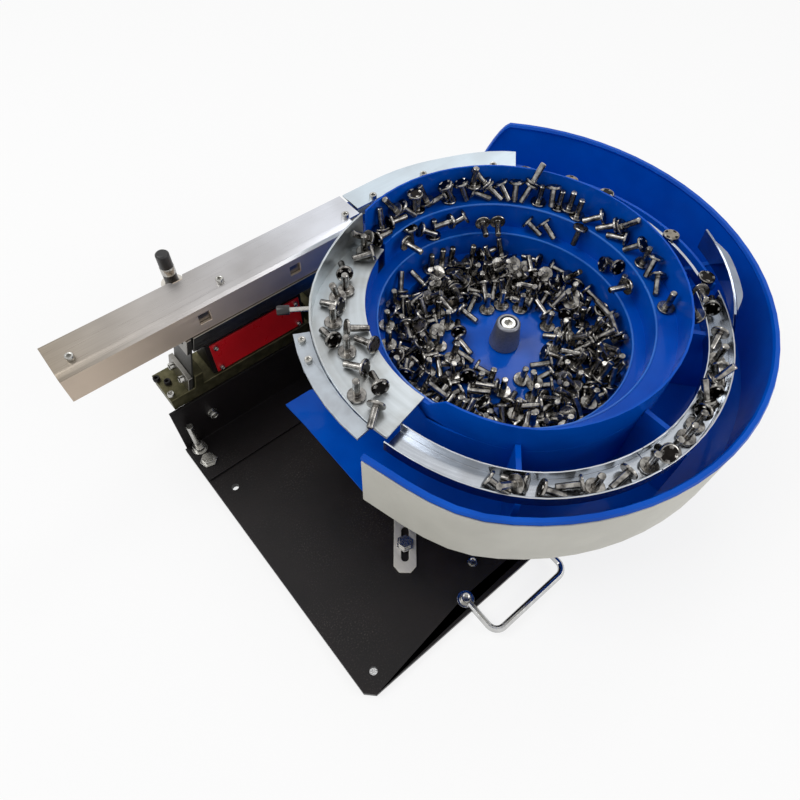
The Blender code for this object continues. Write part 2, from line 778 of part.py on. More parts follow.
def slanted(foot, near, far, low, high):
    """Return the X and Z corners of a block between two offsets from a leaf spring."""
    across = 1.0 / math.cos(math.radians(LEAF_TILT))
    return [(leaf_x(foot, low) + near * across, low), (leaf_x(foot, low) + far * across, low),
            (leaf_x(foot, high) + far * across, high), (leaf_x(foot, high) + near * across, high)]


def leaf_bolt_heights():
    """Return the heights of the lower and the upper clamp bolts."""
    return BASE_TOP + TAB_HEIGHT / 2, TOP_BAR_BOTTOM + TOP_BAR_THICK / 2


def build_linear_drive():
    """Make the linear feeder's base, leaf springs, clamps, housing, coil and moving bar."""
    half = LEAF_THICK / 2 + GAP
    left_tab = slanted(LEAF_LEFT_FOOT, half, half + TAB_LENGTH, BASE_TOP, BASE_TOP + TAB_HEIGHT)
    right_tab = slanted(LEAF_RIGHT_FOOT, -half - TAB_LENGTH, -half, BASE_TOP, BASE_TOP + TAB_HEIGHT)
    outline = [(BASE_LEFT, BASE_BOTTOM), (BASE_RIGHT, BASE_BOTTOM), (BASE_RIGHT, BASE_TOP)]
    outline += [right_tab[1], right_tab[2], right_tab[3], right_tab[0]]
    outline += [left_tab[1], left_tab[2], left_tab[3], left_tab[0], (BASE_LEFT, BASE_TOP)]
    base = flat("linear_base", [outline], FEEDER_WIDTH, "zinc_steel", FRAME, upright(FEEDER_NEAR), solid=True)
    left_end = slanted(LEAF_LEFT_FOOT, half, half, TOP_BAR_BOTTOM, TOP_BAR_TOP)
    right_end = slanted(LEAF_RIGHT_FOOT, -half, -half, TOP_BAR_BOTTOM, TOP_BAR_TOP)
    bar_outline = [left_end[0], right_end[0], right_end[3], left_end[3]]
    bar = flat("linear_top_bar", [bar_outline], FEEDER_WIDTH, "ground_steel", LINEAR_AXIS,
               upright(FEEDER_NEAR), solid=True)
    bores = drill("leaf_bores", leaf_bore_places())
    boolean(base, bores)
    boolean(bar, bores)
    build_leaf("left", LEAF_LEFT_FOOT, -1, bores)
    build_leaf("right", LEAF_RIGHT_FOOT, 1, bores)
    build_linear_magnet()
    build_housing()


def leaf_bore_places():
    """Return the bores through the clamps, the leaf springs and what they are clamped to."""
    holes = []
    reach = 2 * CLAMP_THICK + TAB_LENGTH
    half = LEAF_THICK / 2 + GAP
    for foot, side in ((LEAF_LEFT_FOOT, -1), (LEAF_RIGHT_FOOT, 1)):
        inward = leaf_normal() * -side
        for y in (FEEDER_NEAR + CLAMP_BOLT_INSET, FEEDER_FAR - CLAMP_BOLT_INSET):
            for z in leaf_bolt_heights():
                outer = Vector((leaf_x(foot, z), y, z)) - inward * (half + CLAMP_THICK + 5.0)
                holes.append((outer, inward, reach, (CLAMP_BOLT_DIA + HOLE_PLAY) / 2))
    return holes


def build_leaf(end, foot, side, bores):
    """Make the leaf spring at one end of the linear drive, with its lower and upper clamps."""
    half = LEAF_THICK / 2 + GAP
    leaf = slanted(foot, -LEAF_THICK / 2, LEAF_THICK / 2, BASE_TOP + GAP, TOP_BAR_TOP)
    spring = flat("linear_leaf_spring_" + end, [leaf], FEEDER_WIDTH - 2 * LEAF_SIDE_INSET, "spring_laminate",
                  FRAME, upright(FEEDER_NEAR + LEAF_SIDE_INSET), solid=True)
    boolean(spring, bores)
    near, far = sorted((side * half, side * (half + CLAMP_THICK)))
    lower = slanted(foot, near, far, BASE_TOP + GAP, BASE_TOP + TAB_HEIGHT)
    upper = slanted(foot, near, far, TOP_BAR_BOTTOM, TOP_BAR_TOP)
    for level_name, outline, parent in (("lower_", lower, FRAME), ("upper_", upper, LINEAR_AXIS)):
        clamp = flat("leaf_clamp_" + level_name + end, [outline], FEEDER_WIDTH, "ground_steel", parent,
                     upright(FEEDER_NEAR), solid=True)
        boolean(clamp, bores)


def build_linear_magnet():
    """Make the coil on the linear base and the armature under the moving bar."""
    x0 = (HOUSING_LEFT + HOUSING_RIGHT - LINEAR_COIL_LENGTH) / 2
    x1 = x0 + LINEAR_COIL_LENGTH
    y0 = (FEEDER_NEAR + FEEDER_FAR - LINEAR_COIL_WIDTH) / 2
    y1 = y0 + LINEAR_COIL_WIDTH
    floor = BASE_TOP + GAP + HOUSING_WALL + GAP
    top = floor + LINEAR_COIL_HEIGHT
    box("linear_coil", (x0, y0, floor), (x1, y1, top), "winding", FRAME, bevel=2.0)
    box("linear_armature", (x0 + 10.0, y0 + 3.0, top + LINEAR_AIR_GAP),
        (x1 - 10.0, y1 - 3.0, TOP_BAR_BOTTOM - GAP), "ground_steel", LINEAR_AXIS)


def side_bore_places(face, out):
    """Return the four bores of a side cover, drilled from outside through the housing's wall."""
    inset = SIDE_SCREW_INSET
    return [((x, face + out * 7.0, z), (0, -out, 0), 14.0, (SIDE_SCREW_DIA + HOLE_PLAY) / 2)
            for x in (SIDE_COVER_LEFT + inset, SIDE_COVER_RIGHT - inset)
            for z in (SIDE_COVER_BOTTOM + inset, SIDE_COVER_TOP - inset)]


def build_housing():
    """Make the open-topped coil housing and its two red side covers."""
    near, far = FEEDER_NEAR + HOUSING_INSET, FEEDER_FAR - HOUSING_INSET
    low = BASE_TOP + GAP
    housing = box("linear_housing", (HOUSING_LEFT, near, low), (HOUSING_RIGHT, far, HOUSING_TOP),
                  "black_coat", FRAME)
    w = HOUSING_WALL

    def room(shape):
        add_box(shape, (HOUSING_LEFT + w, near + w, low + w), (HOUSING_RIGHT - w, far - w, HOUSING_TOP + w))
    boolean(housing, cutter("housing_room", room))
    for end, face, out in (("front", near, -1), ("rear", far, 1)):
        y0, y1 = sorted((face + out * GAP, face + out * (GAP + SIDE_COVER_THICK)))
        cover = box("side_cover_" + end, (SIDE_COVER_LEFT, y0, SIDE_COVER_BOTTOM),
                    (SIDE_COVER_RIGHT, y1, SIDE_COVER_TOP), "red_coat", FRAME)
        bores = drill("side_bores_" + end, side_bore_places(face, out))
        boolean(cover, bores)
        boolean(housing, bores)


def cover_screw_seats():
    """Return where the linear cover's posts stand and its screws seat."""
    y = (BODY_NEAR + SLOT_NEAR) / 2
    return [((x, y, COVER_TOP), (0, 0, -1)) for x in COVER_SCREW_XS]


def screwed_cover(name, outline, seats, rail):
    """Make a cover plate with posts down to the rail below it, and bore it and the rail for its screws."""
    carrier_of_rail = rail.parent
    cover = flat(name, [outline], COVER_THICK, "stainless", carrier_of_rail, level(COVER_BOTTOM), solid=True)

    def posts(shape):
        for (x, y, _), _ in seats:
            add_round(shape, (x, y, RAIL_TOP + GAP), (0, 0, 1), HEAD_ROOM + 1.0, COVER_SCREW_DIA * 0.9, sides=16)
    boolean(cover, cutter(name + "_posts", posts), "UNION")
    holes = [((x, y, z + 5.0), axis, COVER_THICK + HEAD_ROOM + COVER_BORE_DEPTH + 5.0,
              (COVER_SCREW_DIA + HOLE_PLAY) / 2) for (x, y, z), axis in seats]
    bores = drill(name + "_bores", holes)
    boolean(cover, bores)
    boolean(rail, bores)


def build_track():
    """Make the slotted linear track with its side plates, cover and sensor."""
    length = TRACK_RIGHT - TRACK_LEFT
    slot_floor = RAIL_TOP - SLOT_DEPTH
    profile = [(BODY_NEAR, TRACK_BOTTOM), (BODY_FAR, TRACK_BOTTOM), (BODY_FAR, RAIL_TOP), (SLOT_FAR, RAIL_TOP),
               (SLOT_FAR, slot_floor), (SLOT_NEAR, slot_floor), (SLOT_NEAR, RAIL_TOP), (BODY_NEAR, RAIL_TOP)]
    body = flat("track_body", [profile], length, "ground_steel", LINEAR_AXIS, crosswise(TRACK_LEFT), solid=True)
    top = RAIL_TOP + HEAD_ROOM
    plate = [(TRACK_LEFT, TRACK_BOTTOM), (NEAR_PLATE_RIGHT, TRACK_BOTTOM), (NEAR_PLATE_RIGHT, top),
             (TRACK_LEFT, top)]
    sill = TRACK_BOTTOM + WINDOW_SILL
    half = WINDOW_SIZE / 2
    windows = [[(x - half, sill), (x + half, sill), (x + half, sill + WINDOW_SIZE),
                (x - half, sill + WINDOW_SIZE)] for x in WINDOW_XS]
    flat("track_side_plate_near", [plate] + windows, TRACK_PLATE_THICK, "stainless", LINEAR_AXIS,
         upright(TRACK_NEAR))
    box("track_side_plate_far", (TRACK_LEFT, FAR_PLATE_NEAR, TRACK_BOTTOM),
        (TRACK_RIGHT, FAR_PLATE_FAR, top), "stainless", LINEAR_AXIS)
    build_track_cover(body)
    build_sensor()


def build_track_cover(body):
    """Make the linear cover, notched beside the sensor."""
    near = BODY_NEAR + 0.5
    far = FAR_PLATE_FAR + COVER_OVERHANG
    x0, x1 = COVER_NOTCH_X - COVER_NOTCH_WIDTH / 2, COVER_NOTCH_X + COVER_NOTCH_WIDTH / 2
    dip = far - COVER_NOTCH_DEPTH
    outline = [(TRACK_LEFT, near), (TRACK_RIGHT, near), (TRACK_RIGHT, far), (x1, far), (x1 - 3.0, dip),
               (x0 + 3.0, dip), (x0, far - COVER_OVERHANG), (TRACK_LEFT, far - COVER_OVERHANG)]
    screwed_cover("track_cover", outline, cover_screw_seats(), body)


def build_sensor():
    """Make the track sensor and the bracket that holds it on the far side plate."""
    x, y = COVER_NOTCH_X, FAR_PLATE_FAR + SENSOR_OUT
    radius = SENSOR_DIA / 2
    near = FAR_PLATE_FAR + GAP
    half = radius + 5.0
    outline = [(x - half, near), (x + half, near), (x + half, y), (x - half, y)]
    outline = outline[:2] + arc(x, y, half, 0.0, 180.0, 20.0)
    hole = arc(x, y, radius + GAP, 0.0, 340.0, 20.0)
    flat("sensor_bracket", [outline, hole], SENSOR_BRACKET_THICK, "stainless", LINEAR_AXIS,
         level(SENSOR_BRACKET_Z))
    top = SENSOR_TOP
    foot = top - SENSOR_LENGTH
    profile = [(0.0, top), (radius - 1.5, top), (radius, top - 1.5), (radius, foot + 1.5),
               (radius - 1.5, foot), (0.0, foot)]
    turned("track_sensor", profile, "rubber", LINEAR_AXIS, sides=24, at=(x, y))


def foot_places():
    """Return the heading of each foot's strap and the foot's place."""
    spread = 360.0 / len(STRAP_HEADINGS)
    return [(heading, polar(FOOT_START + spread * i, FOOT_RADIUS, 0.0))
            for i, heading in enumerate(STRAP_HEADINGS)]


def strap_frame(heading, place_point):
    """Return the placement of a strap whose origin is its foot and whose +X points to its tip."""
    move = Matrix.Translation((place_point[0], place_point[1], STRAP_BOTTOM))
    return move @ Matrix.Rotation(math.radians(heading), 4, "Z")


def strap_bolt_seats():
    """Return where the straps' bolts seat."""
    seats = []
    for heading, point in foot_places():
        seat = strap_frame(heading, point) @ Vector((STRAP_BOLT_OUT, 0.0, STRAP_THICK))
        seats.append((tuple(seat), (0, 0, -1)))
    return seats


def build_feet():
    """Make the slotted straps on the base plate and the rubber feet they carry."""
    half = STRAP_WIDTH / 2
    tip = STRAP_BOLT_OUT + STRAP_TIP - half * 0.6
    slot_half = (STAND_BOLT_DIA + HOLE_PLAY) / 2
    ends = STRAP_SLOT_LENGTH / 2 - slot_half
    rim = arc(0.0, 0.0, half, 90.0, 270.0, 15.0)
    rim += [(tip, -half), (tip + half * 0.6, -half * 0.5), (tip + half * 0.6, half * 0.5), (tip, half)]
    slot = arc(STRAP_BOLT_OUT - ends, 0.0, slot_half, 90.0, 270.0, 30.0)
    slot += arc(STRAP_BOLT_OUT + ends, 0.0, slot_half, -90.0, 90.0, 30.0)
    for number, (heading, point) in enumerate(foot_places(), 1):
        flat("foot_strap_%d" % number, [rim, slot], STRAP_THICK, "stainless", FRAME, strap_frame(heading, point))
        post("rubber_foot_%d" % number, (point[0], point[1], FOOT_BOTTOM), (0, 0, 1), FOOT_HEIGHT, FOOT_DIA / 2,
             "rubber", FRAME)


def build_drive():
    """Make the bowl drive: base, magnet, armature, top plate and the leaf springs between them."""
    r = DRIVE_BASE_DIA / 2
    edge = 2.0
    profile = [(0.0, DRIVE_TOP), (r - edge, DRIVE_TOP), (r, DRIVE_TOP - edge), (r, DRIVE_BOTTOM + edge),
               (r - edge, DRIVE_BOTTOM), (0.0, DRIVE_BOTTOM)]
    base = turned("drive_base", profile, "black_coat", FRAME, sides=60)
    half, deep = MAGNET_SIZE / 2, MAGNET_DEPTH / 2
    low = DRIVE_TOP + GAP
    box("drive_magnet", (-half, -deep, low), (half, deep, low + MAGNET_HEIGHT), "winding", FRAME, bevel=3.0)
    armature = low + MAGNET_HEIGHT + AIR_GAP
    box("drive_armature", (-half, -deep, armature), (half, deep, TOP_PLATE_BOTTOM - GAP), "ground_steel",
        DRIVE_AXIS)
    r, bore = TOP_PLATE_DIA / 2, (NUT_SCREW_DIA + HOLE_PLAY) / 2
    profile = [(bore, TOP_PLATE_TOP), (r, TOP_PLATE_TOP), (r, TOP_PLATE_BOTTOM), (bore, TOP_PLATE_BOTTOM)]
    top = turned("drive_top_plate", profile, "ground_steel", DRIVE_AXIS, sides=60)
    build_drive_springs(base, top)


def spring_frame(index):
    """Return the placement of a bowl spring: X outward, Y along the bowl's turning way, Z up."""
    azimuth = SPRING_START + 360.0 / SPRING_COUNT * index
    return Matrix.Rotation(math.radians(azimuth), 4, "Z") @ Matrix.Translation((SPRING_RADIUS, 0.0, 0.0))


def spring_y(z):
    """Return how far along Y a bowl spring's middle plane stands at a height."""
    middle = (DRIVE_TOP + TOP_PLATE_BOTTOM) / 2
    return (middle - z) * math.tan(math.radians(SPRING_TILT))


def spring_slab(near, far, low, high):
    """Return the Y and Z corners of a slab between two offsets from a bowl spring."""
    across = 1.0 / math.cos(math.radians(SPRING_TILT))
    return [(spring_y(low) + near * across, low), (spring_y(low) + far * across, low),
            (spring_y(high) + far * across, high), (spring_y(high) + near * across, high)]


def spring_piece(name, index, corners):
    """Make one flat piece of a bowl spring's fixing from its Y and Z corners."""
    turn = Matrix(((0, 0, 1, 0), (1, 0, 0, 0), (0, 1, 0, 0), (0, 0, 0, 1)))
    matrix = spring_frame(index) @ Matrix.Translation((-SPRING_WIDTH / 2, 0.0, 0.0)) @ turn
    return flat(name, [corners], SPRING_WIDTH, "spring_laminate", FRAME, matrix, solid=True)


def spring_bore_places():
    """Return the bores through each bowl spring's two fixings."""
    low, high = DRIVE_TOP + GAP, TOP_PLATE_BOTTOM - GAP
    tilt = math.radians(SPRING_TILT)
    holes = []
    for i in range(SPRING_COUNT):
        frame = spring_frame(i)
        for z, way in ((low + SPRING_GRIP / 2, 1), (high - SPRING_GRIP / 2, -1)):
            inward = Vector((0.0, math.cos(tilt), math.sin(tilt))) * way
            outer = Vector((0.0, spring_y(z), z)) - inward * (SPRING_THICK / 2 + GAP + SPRING_CLAMP + 4.0)
            holes.append((frame @ outer, frame.to_3x3() @ inward, SPRING_CLAMP + SPRING_THICK + 18.0,
                          (SPRING_BOLT_DIA + HOLE_PLAY) / 2))
    return holes


def build_drive_springs(base, top):
    """Make the inclined leaf springs and the seats that grip them on the base and the top plate."""
    half = SPRING_THICK / 2 + GAP
    low, high = DRIVE_TOP + GAP, TOP_PLATE_BOTTOM - GAP
    foot, head = DRIVE_TOP - SPRING_SEAT_OVERLAP, TOP_PLATE_BOTTOM + SPRING_SEAT_OVERLAP
    bores = drill("spring_bores", spring_bore_places())
    lower, upper = [], []
    for i in range(SPRING_COUNT):
        seat = spring_slab(half, half + SPRING_BLOCK, foot, low + SPRING_GRIP)
        seat[1] = (seat[0][0] + SPRING_BLOCK + 4.0, seat[1][1])
        lower.append(spring_piece("seat", i, seat))
        lower.append(spring_piece("seat", i, spring_slab(-half - SPRING_CLAMP, -half, foot, low + SPRING_GRIP)))
        seat = spring_slab(-half - SPRING_BLOCK, -half, high - SPRING_GRIP, head)
        seat[3] = (seat[2][0] - SPRING_BLOCK - 4.0, seat[3][1])
        upper.append(spring_piece("seat", i, seat))
        upper.append(spring_piece("seat", i, spring_slab(half, half + SPRING_CLAMP, high - SPRING_GRIP, head)))
        leaf = spring_slab(-SPRING_THICK / 2, SPRING_THICK / 2, low, high)
        boolean(spring_piece("bowl_leaf_spring_%d" % (i + 1), i, leaf), bores)
    for body, name, pieces in ((base, "lower_seats", lower), (top, "upper_seats", upper)):
        boolean(body, gathered(name, pieces), "UNION")
        boolean(body, bores)


def gathered(name, items):
    """Gather separate meshes in one hidden tool, in world space."""
    bpy.context.view_layer.update()
    shape = bmesh.new()
    for item in items:
        piece = item.data.copy()
        piece.transform(item.matrix_world)
        shape.from_mesh(piece)
        bpy.data.objects.remove(item, do_unlink=True)
    mesh = bpy.data.meshes.new(name)
    shape.to_mesh(mesh)
    shape.free()
    return hide_as_cutter(place(name, mesh))


def build_bowl():
    """Make the hub, the spiral bowl, its ribbed skirt and the cone nut with its screw."""
    bore = (NUT_SCREW_DIA + HOLE_PLAY) / 2
    r = HUB_DIA / 2
    low = TOP_PLATE_TOP + GAP
    high = BOWL_FLOOR_Z - SHEET / 2 - GAP
    turned("bowl_hub", [(bore, high), (r, high), (r, low), (bore, low)], "ground_steel", BOWL_AXIS, sides=36)
    build_bowl_shell(bore)
    build_skirt()
    foot = BOWL_FLOOR_Z + FLOOR_CROWN + SHEET / 2 + GAP
    top = foot + NUT_HEIGHT
    seat = top - NUT_HEAD_HEIGHT - 1.0
    head = NUT_HEAD_DIA / 2 + GAP + 0.4
    profile = [(head, top), (NUT_TOP_DIA / 2 - 1.5, top), (NUT_TOP_DIA / 2, top - 1.5), (NUT_FOOT_DIA / 2, foot + 3.0),
               (NUT_FOOT_DIA / 2, foot), (bore, foot), (bore, seat), (head, seat)]
    turned("cone_nut", profile, "black_coat", BOWL_AXIS, sides=36)
    shape = bmesh.new()
    seat += GAP
    tip = TOP_PLATE_BOTTOM + 1.0
    rings = [(NUT_SCREW_DIA / 2, tip), (NUT_SCREW_DIA / 2, seat), (NUT_HEAD_DIA / 2, seat)]
    rings += [(NUT_HEAD_DIA / 2, seat + NUT_HEAD_HEIGHT - 1.0), (NUT_HEAD_DIA / 2 - 1.0, seat + NUT_HEAD_HEIGHT)]
    add_rings(shape, Vector((0, 0, 0)), Vector((0, 0, 1)), rings, 24)
    screw = dress(place("cone_screw", mesh_from("cone_screw", shape)), "stainless", BOWL_AXIS)

    def socket(shape):
        add_round(shape, (0, 0, seat + NUT_HEAD_HEIGHT - 5.0), (0, 0, 1), 10.0,
                  SOCKET_AF / 2 / math.cos(math.radians(30.0)), sides=6)
    boolean(screw, cutter("screw_socket", socket))


def build_bowl_shell(bore):
    """Make the bowl's crowned floor, rising track and walls as one sheet with a thickness."""
    shape = bmesh.new()
    first = round(FLIGHT_START / SPIRAL_STEP)
    last = round(FLIGHT_END / SPIRAL_STEP)
    turn = round(360.0 / SPIRAL_STEP)
    rim_from = round(RIM_START / SPIRAL_STEP)
    lips, feet, tops = {}, {}, {}
    for i in range(first, last + 1):
        angle = i * SPIRAL_STEP
        lips[i] = shape.verts.new(spiral_point(angle, lip_radius(angle), track_z(angle)))
    for i in range(first, last + 1):
        angle = i * SPIRAL_STEP
        feet[i] = shape.verts.new(spiral_point(angle, wall_radius(angle), track_z(angle)))
    floor = {first: lips[first]}
    for i in range(first + 1, first + turn):
        angle = i * SPIRAL_STEP
        floor[i] = shape.verts.new(spiral_point(angle, lip_radius(angle), BOWL_FLOOR_Z))
    floor[first + turn] = feet[first]
    for i in range(last - turn + 1, last + 1):
        angle = i * SPIRAL_STEP
        if i > rim_from:
            tops[i] = shape.verts.new(spiral_point(angle, wall_radius(angle), track_z(angle) + WALL_HEIGHT))
        else:
            tops[i] = shape.verts.new(spiral_point(angle, wall_radius(angle), TRAY_TOP - TRAY_SHEET - 2 * GAP))
    for i in range(first, last):
        shape.faces.new((lips[i], feet[i], feet[i + 1], lips[i + 1]))
        if i + 1 + turn <= last:
            shape.faces.new((feet[i], lips[i + turn], lips[i + 1 + turn], feet[i + 1]))
        elif i in tops:
            shape.faces.new((feet[i], tops[i], tops[i + 1], feet[i + 1]))
    shape.faces.new((lips[first], lips[first + 1], floor[first + 1]))
    for i in range(first + 1, first + turn):
        shape.faces.new((floor[i], lips[i], lips[i + 1], floor[i + 1]))
    ring = [floor[i] for i in range(first, first + turn + 1)]
    inner = [shape.verts.new(spiral_point(i * SPIRAL_STEP, HUB_DIA / 2, BOWL_FLOOR_Z))
             for i in range(first, first + turn)]
    middle = [shape.verts.new(spiral_point(i * SPIRAL_STEP, bore, BOWL_FLOOR_Z + FLOOR_CROWN))
              for i in range(first, first + turn)]
    for k in range(turn):
        n = (k + 1) % turn
        if k < turn - 1:
            shape.faces.new((ring[k], ring[k + 1], inner[n], inner[k]))
        else:
            shape.faces.new((ring[k], ring[k + 1], ring[0], inner[0], inner[k]))
        shape.faces.new((inner[k], inner[n], middle[n], middle[k]))
    item = place("bowl_shell", mesh_from("bowl_shell", shape))
    wall = thicken(item, SHEET, 0.0)
    wall.solidify_mode = "NON_MANIFOLD"
    wall.nonmanifold_thickness_mode = "EVEN"
    dress(item, "blue_coat", BOWL_AXIS)


def skirt_radius(azimuth):
    """Return the skirt's radius at an azimuth, which follows the outer wall's foot."""
    angle = (azimuth - SPIRAL_ZERO) % 360.0 + RIM_START
    start = wall_radius(RIM_START) + SKIRT_CLEARANCE
    if angle <= FLIGHT_END:
        return max(wall_radius(angle), start)
    t = (angle - FLIGHT_END) / (RIM_START + 360.0 - FLIGHT_END)
    return wall_radius(FLIGHT_END) * (1 - t) + start * t


def skirt_top(angle):
    """Return the skirt's height at a spiral angle: under the outer turn, then under the tray."""
    if angle <= FLIGHT_END - SPIRAL_STEP:
        return track_z(angle) - SHEET / 2 - GAP
    return TRAY_TOP - TRAY_SHEET - GAP


def build_skirt():
    """Make the wall that carries the bowl's outer turn down to the pan's floor, with its ribs."""
    rows = []
    count = round(360.0 / SPIRAL_STEP)
    for k in range(count):
        azimuth = SPIRAL_ZERO + SPIRAL_STEP * k
        angle = RIM_START + SPIRAL_STEP * k
        radius = skirt_radius(azimuth)
        rows.append([polar(azimuth, radius, skirt_top(angle)), polar(azimuth, radius, PAN_FLOOR_TOP + GAP)])
    skirt = shell("bowl_skirt", rows, SHEET, "blue_coat", BOWL_AXIS, closed=True)
    boolean(skirt, gathered("ribs", build_ribs()), "UNION")


def tray_out(azimuth):
    """Return the tray's outer radius at an azimuth."""
    return along(TRAY_OUTLINE, azimuth)


def tray_in(azimuth):
    """Return the tray's inner radius, which follows the bowl's inner lip."""
    return lip_radius(azimuth - SPIRAL_ZERO + 360.0) - SHEET


def steps(start, end, step):
    """Return evenly spaced values from start to end."""
    count = max(2, math.ceil(abs(end - start) / step))
    return [start + (end - start) * i / count for i in range(count + 1)]


def build_tray():
    """Make the selector tray with its outer wall, the guide outside it and the air nozzle."""
    rows = []
    for azimuth in steps(TRAY_START, TRAY_END, 4.0):
        out = tray_out(azimuth)
        rows.append([polar(azimuth, tray_in(azimuth), TRAY_TOP), polar(azimuth, out, TRAY_TOP),
                     polar(azimuth, out, along(TRAY_RIM, azimuth))])
    shell("selector_tray", rows, TRAY_SHEET, "frosted_aluminium", BOWL_AXIS, offset=1.0)
    build_guide()
    build_nozzle()


def build_guide():
    """Make the guide strip outside the tray with the bracket that carries it from the skirt."""
    inner, outer = [], []
    for azimuth in steps(GUIDE_START, GUIDE_END, SPIRAL_STEP):
        base = max(tray_out(azimuth), TRAY_OUT_MIDDLE) + TRAY_SHEET + 2 * GAP
        inner.append(polar(azimuth, base, 0.0)[:2])
        outer.append(polar(azimuth, base + GUIDE_WIDTH, 0.0)[:2])
    guide = flat("tray_guide", [inner + outer[::-1]], GUIDE_THICK, "frosted_aluminium", BOWL_AXIS,
                 level(TRAY_TOP - GUIDE_THICK), solid=True)
    middle = sum(GUIDE_SCREWS) / 2
    start = skirt_radius(middle - 5.0) + SHEET / 2 + GAP
    end = TRAY_OUT_MIDDLE + TRAY_SHEET + GUIDE_WIDTH
    top = TRAY_TOP - GUIDE_THICK + 0.5
    outline = [(start, top - GUIDE_ARM_DEPTH), (end, top - GUIDE_ARM_TIP), (end, top), (start, top)]
    arm = flat("guide_arm", [outline], GUIDE_ARM_WIDTH, "frosted_aluminium", BOWL_AXIS,
               radial(middle, GUIDE_ARM_WIDTH), solid=True)
    boolean(guide, hide_as_cutter(arm), "UNION")
    holes = []
    for azimuth in GUIDE_SCREWS:
        x, y, z = polar(azimuth, TRAY_OUT_MIDDLE + TRAY_SHEET + GUIDE_WIDTH * 0.6, TRAY_TOP)
        holes.append(((x, y, z + 5.0), (0, 0, -1), 18.0, (GUIDE_SCREW_DIA + HOLE_PLAY) / 2))
    boolean(guide, drill("guide_bores", holes))


def build_nozzle():
    """Make the air nozzle outside the tray's wall."""
    azimuth = NOZZLE_AZIMUTH
    start = tray_out(azimuth) + TRAY_SHEET + 2 * GAP
    z = TRAY_TOP + NOZZLE_DIA / 2 + 2.0
    foot = Vector(polar(azimuth, start, z))
    out = Vector(polar(azimuth, 1.0, 0.0))
    end = NOZZLE_LENGTH + NOZZLE_FITTING_DIA * 1.2
    rings = [(NOZZLE_DIA / 2, 0.0), (NOZZLE_DIA / 2, NOZZLE_LENGTH), (NOZZLE_FITTING_DIA / 2, NOZZLE_LENGTH),
             (NOZZLE_FITTING_DIA / 2, end)]
    shape = bmesh.new()
    add_rings(shape, foot, out, rings, 16)
    dress(place("air_nozzle", mesh_from("air_nozzle", shape)), "stainless", BOWL_AXIS)


def pan_point(angle, radius, z):
    """Return a point about the pan's centre."""
    a = math.radians(angle)
    return (PAN_X + radius * math.cos(a), PAN_Y + radius * math.sin(a), z)


def pan_radius(angle):
    """Return the pan wall's radius, which curls in towards its front-left end."""
    past = (PAN_START + PAN_CURL_SPAN - angle) / PAN_CURL_SPAN
    return PAN_RADIUS - PAN_WALL / 2 - SKIN_THICK - PAN_CURL * ease(max(0.0, past))


def pan_top(angle):
    """Return the pan wall's height, which falls away at its back end with a rounded corner."""
    t = min(1.0, max(0.0, (angle - PAN_END) / (PAN_TAIL - PAN_END)))
    return PAN_RIM_Z - (PAN_RIM_Z - PAN_FLOOR_TOP - 4.0) * t ** 1.5


def build_pan():
    """Make the return pan's floor and wall as one welded piece, its lip and its outer skin."""
    angles = steps(PAN_START, PAN_END, PAN_STEP) + steps(PAN_END, PAN_TAIL, 1.3)[1:]
    outline = [pan_point(a, pan_radius(a), 0.0)[:2] for a in angles]
    seat = PAN_SEAT_DIA / 2
    first_seat = 52.0
    tip = TONGUE_HEEL + TONGUE_REACH
    outline += arc(0.0, 0.0, seat, first_seat, TONGUE_AZIMUTH - 4.0, PAN_STEP)
    outline += [polar(TONGUE_AZIMUTH - 3.0, TONGUE_HEEL, 0.0)[:2], polar(TONGUE_AZIMUTH, tip, 0.0)[:2],
                polar(TONGUE_AZIMUTH + 7.0, tip - TONGUE_FALL, 0.0)[:2]]
    bore = arc(0.0, 0.0, PAN_BORE_DIA / 2, 0.0, 354.0, PAN_STEP)
    pan = flat("return_pan", [outline, bore], PAN_FLOOR_THICK, "blue_coat", BOWL_AXIS,
               level(PAN_FLOOR_BOTTOM), solid=True)
    foot = PAN_FLOOR_BOTTOM + PAN_FLOOR_THICK / 2
    w = PAN_WALL / 2
    sections = []
    for a in angles:
        r, top = pan_radius(a), pan_top(a)
        bead = PAN_LIP
        sections.append([pan_point(a, r - w, foot), pan_point(a, r - w, top - bead),
                         pan_point(a, r - bead, top), pan_point(a, r - bead * 0.6, top + bead * 0.8),
                         pan_point(a, r + bead * 0.6, top + bead * 0.8), pan_point(a, r + bead, top),
                         pan_point(a, r + w, top - bead), pan_point(a, r + w, foot)])
    wall = solid_loft("pan_wall", sections, "blue_coat", BOWL_AXIS)
    hide_as_cutter(wall)
    boolean(pan, wall, "UNION")
    rows = []
    for a in [a for a in angles if a <= PAN_END]:
        r = pan_radius(a) + w + GAP + SKIN_THICK / 2
        rows.append([pan_point(a, r, PAN_RIM_Z - PAN_LIP - 1.0), pan_point(a, r, PAN_FLOOR_BOTTOM - SKIN_DROP)])
    shell("pan_skin", rows, SKIN_THICK, "cream_coat", BOWL_AXIS)


def hide_as_cutter(item):
    """Turn an object into a hidden tool and return it."""
    item.hide_render = True
    item.display_type = "WIRE"
    for collection in list(item.users_collection):
        collection.objects.unlink(item)
    CUTTERS.objects.link(item)
    return item


def trough_radius(azimuth):
    """Return the trough's middle radius."""
    t = (azimuth - TROUGH_START) / TROUGH_SETTLE
    return TROUGH_START_RADIUS + (TROUGH_RADIUS - TROUGH_START_RADIUS) * ease(t)


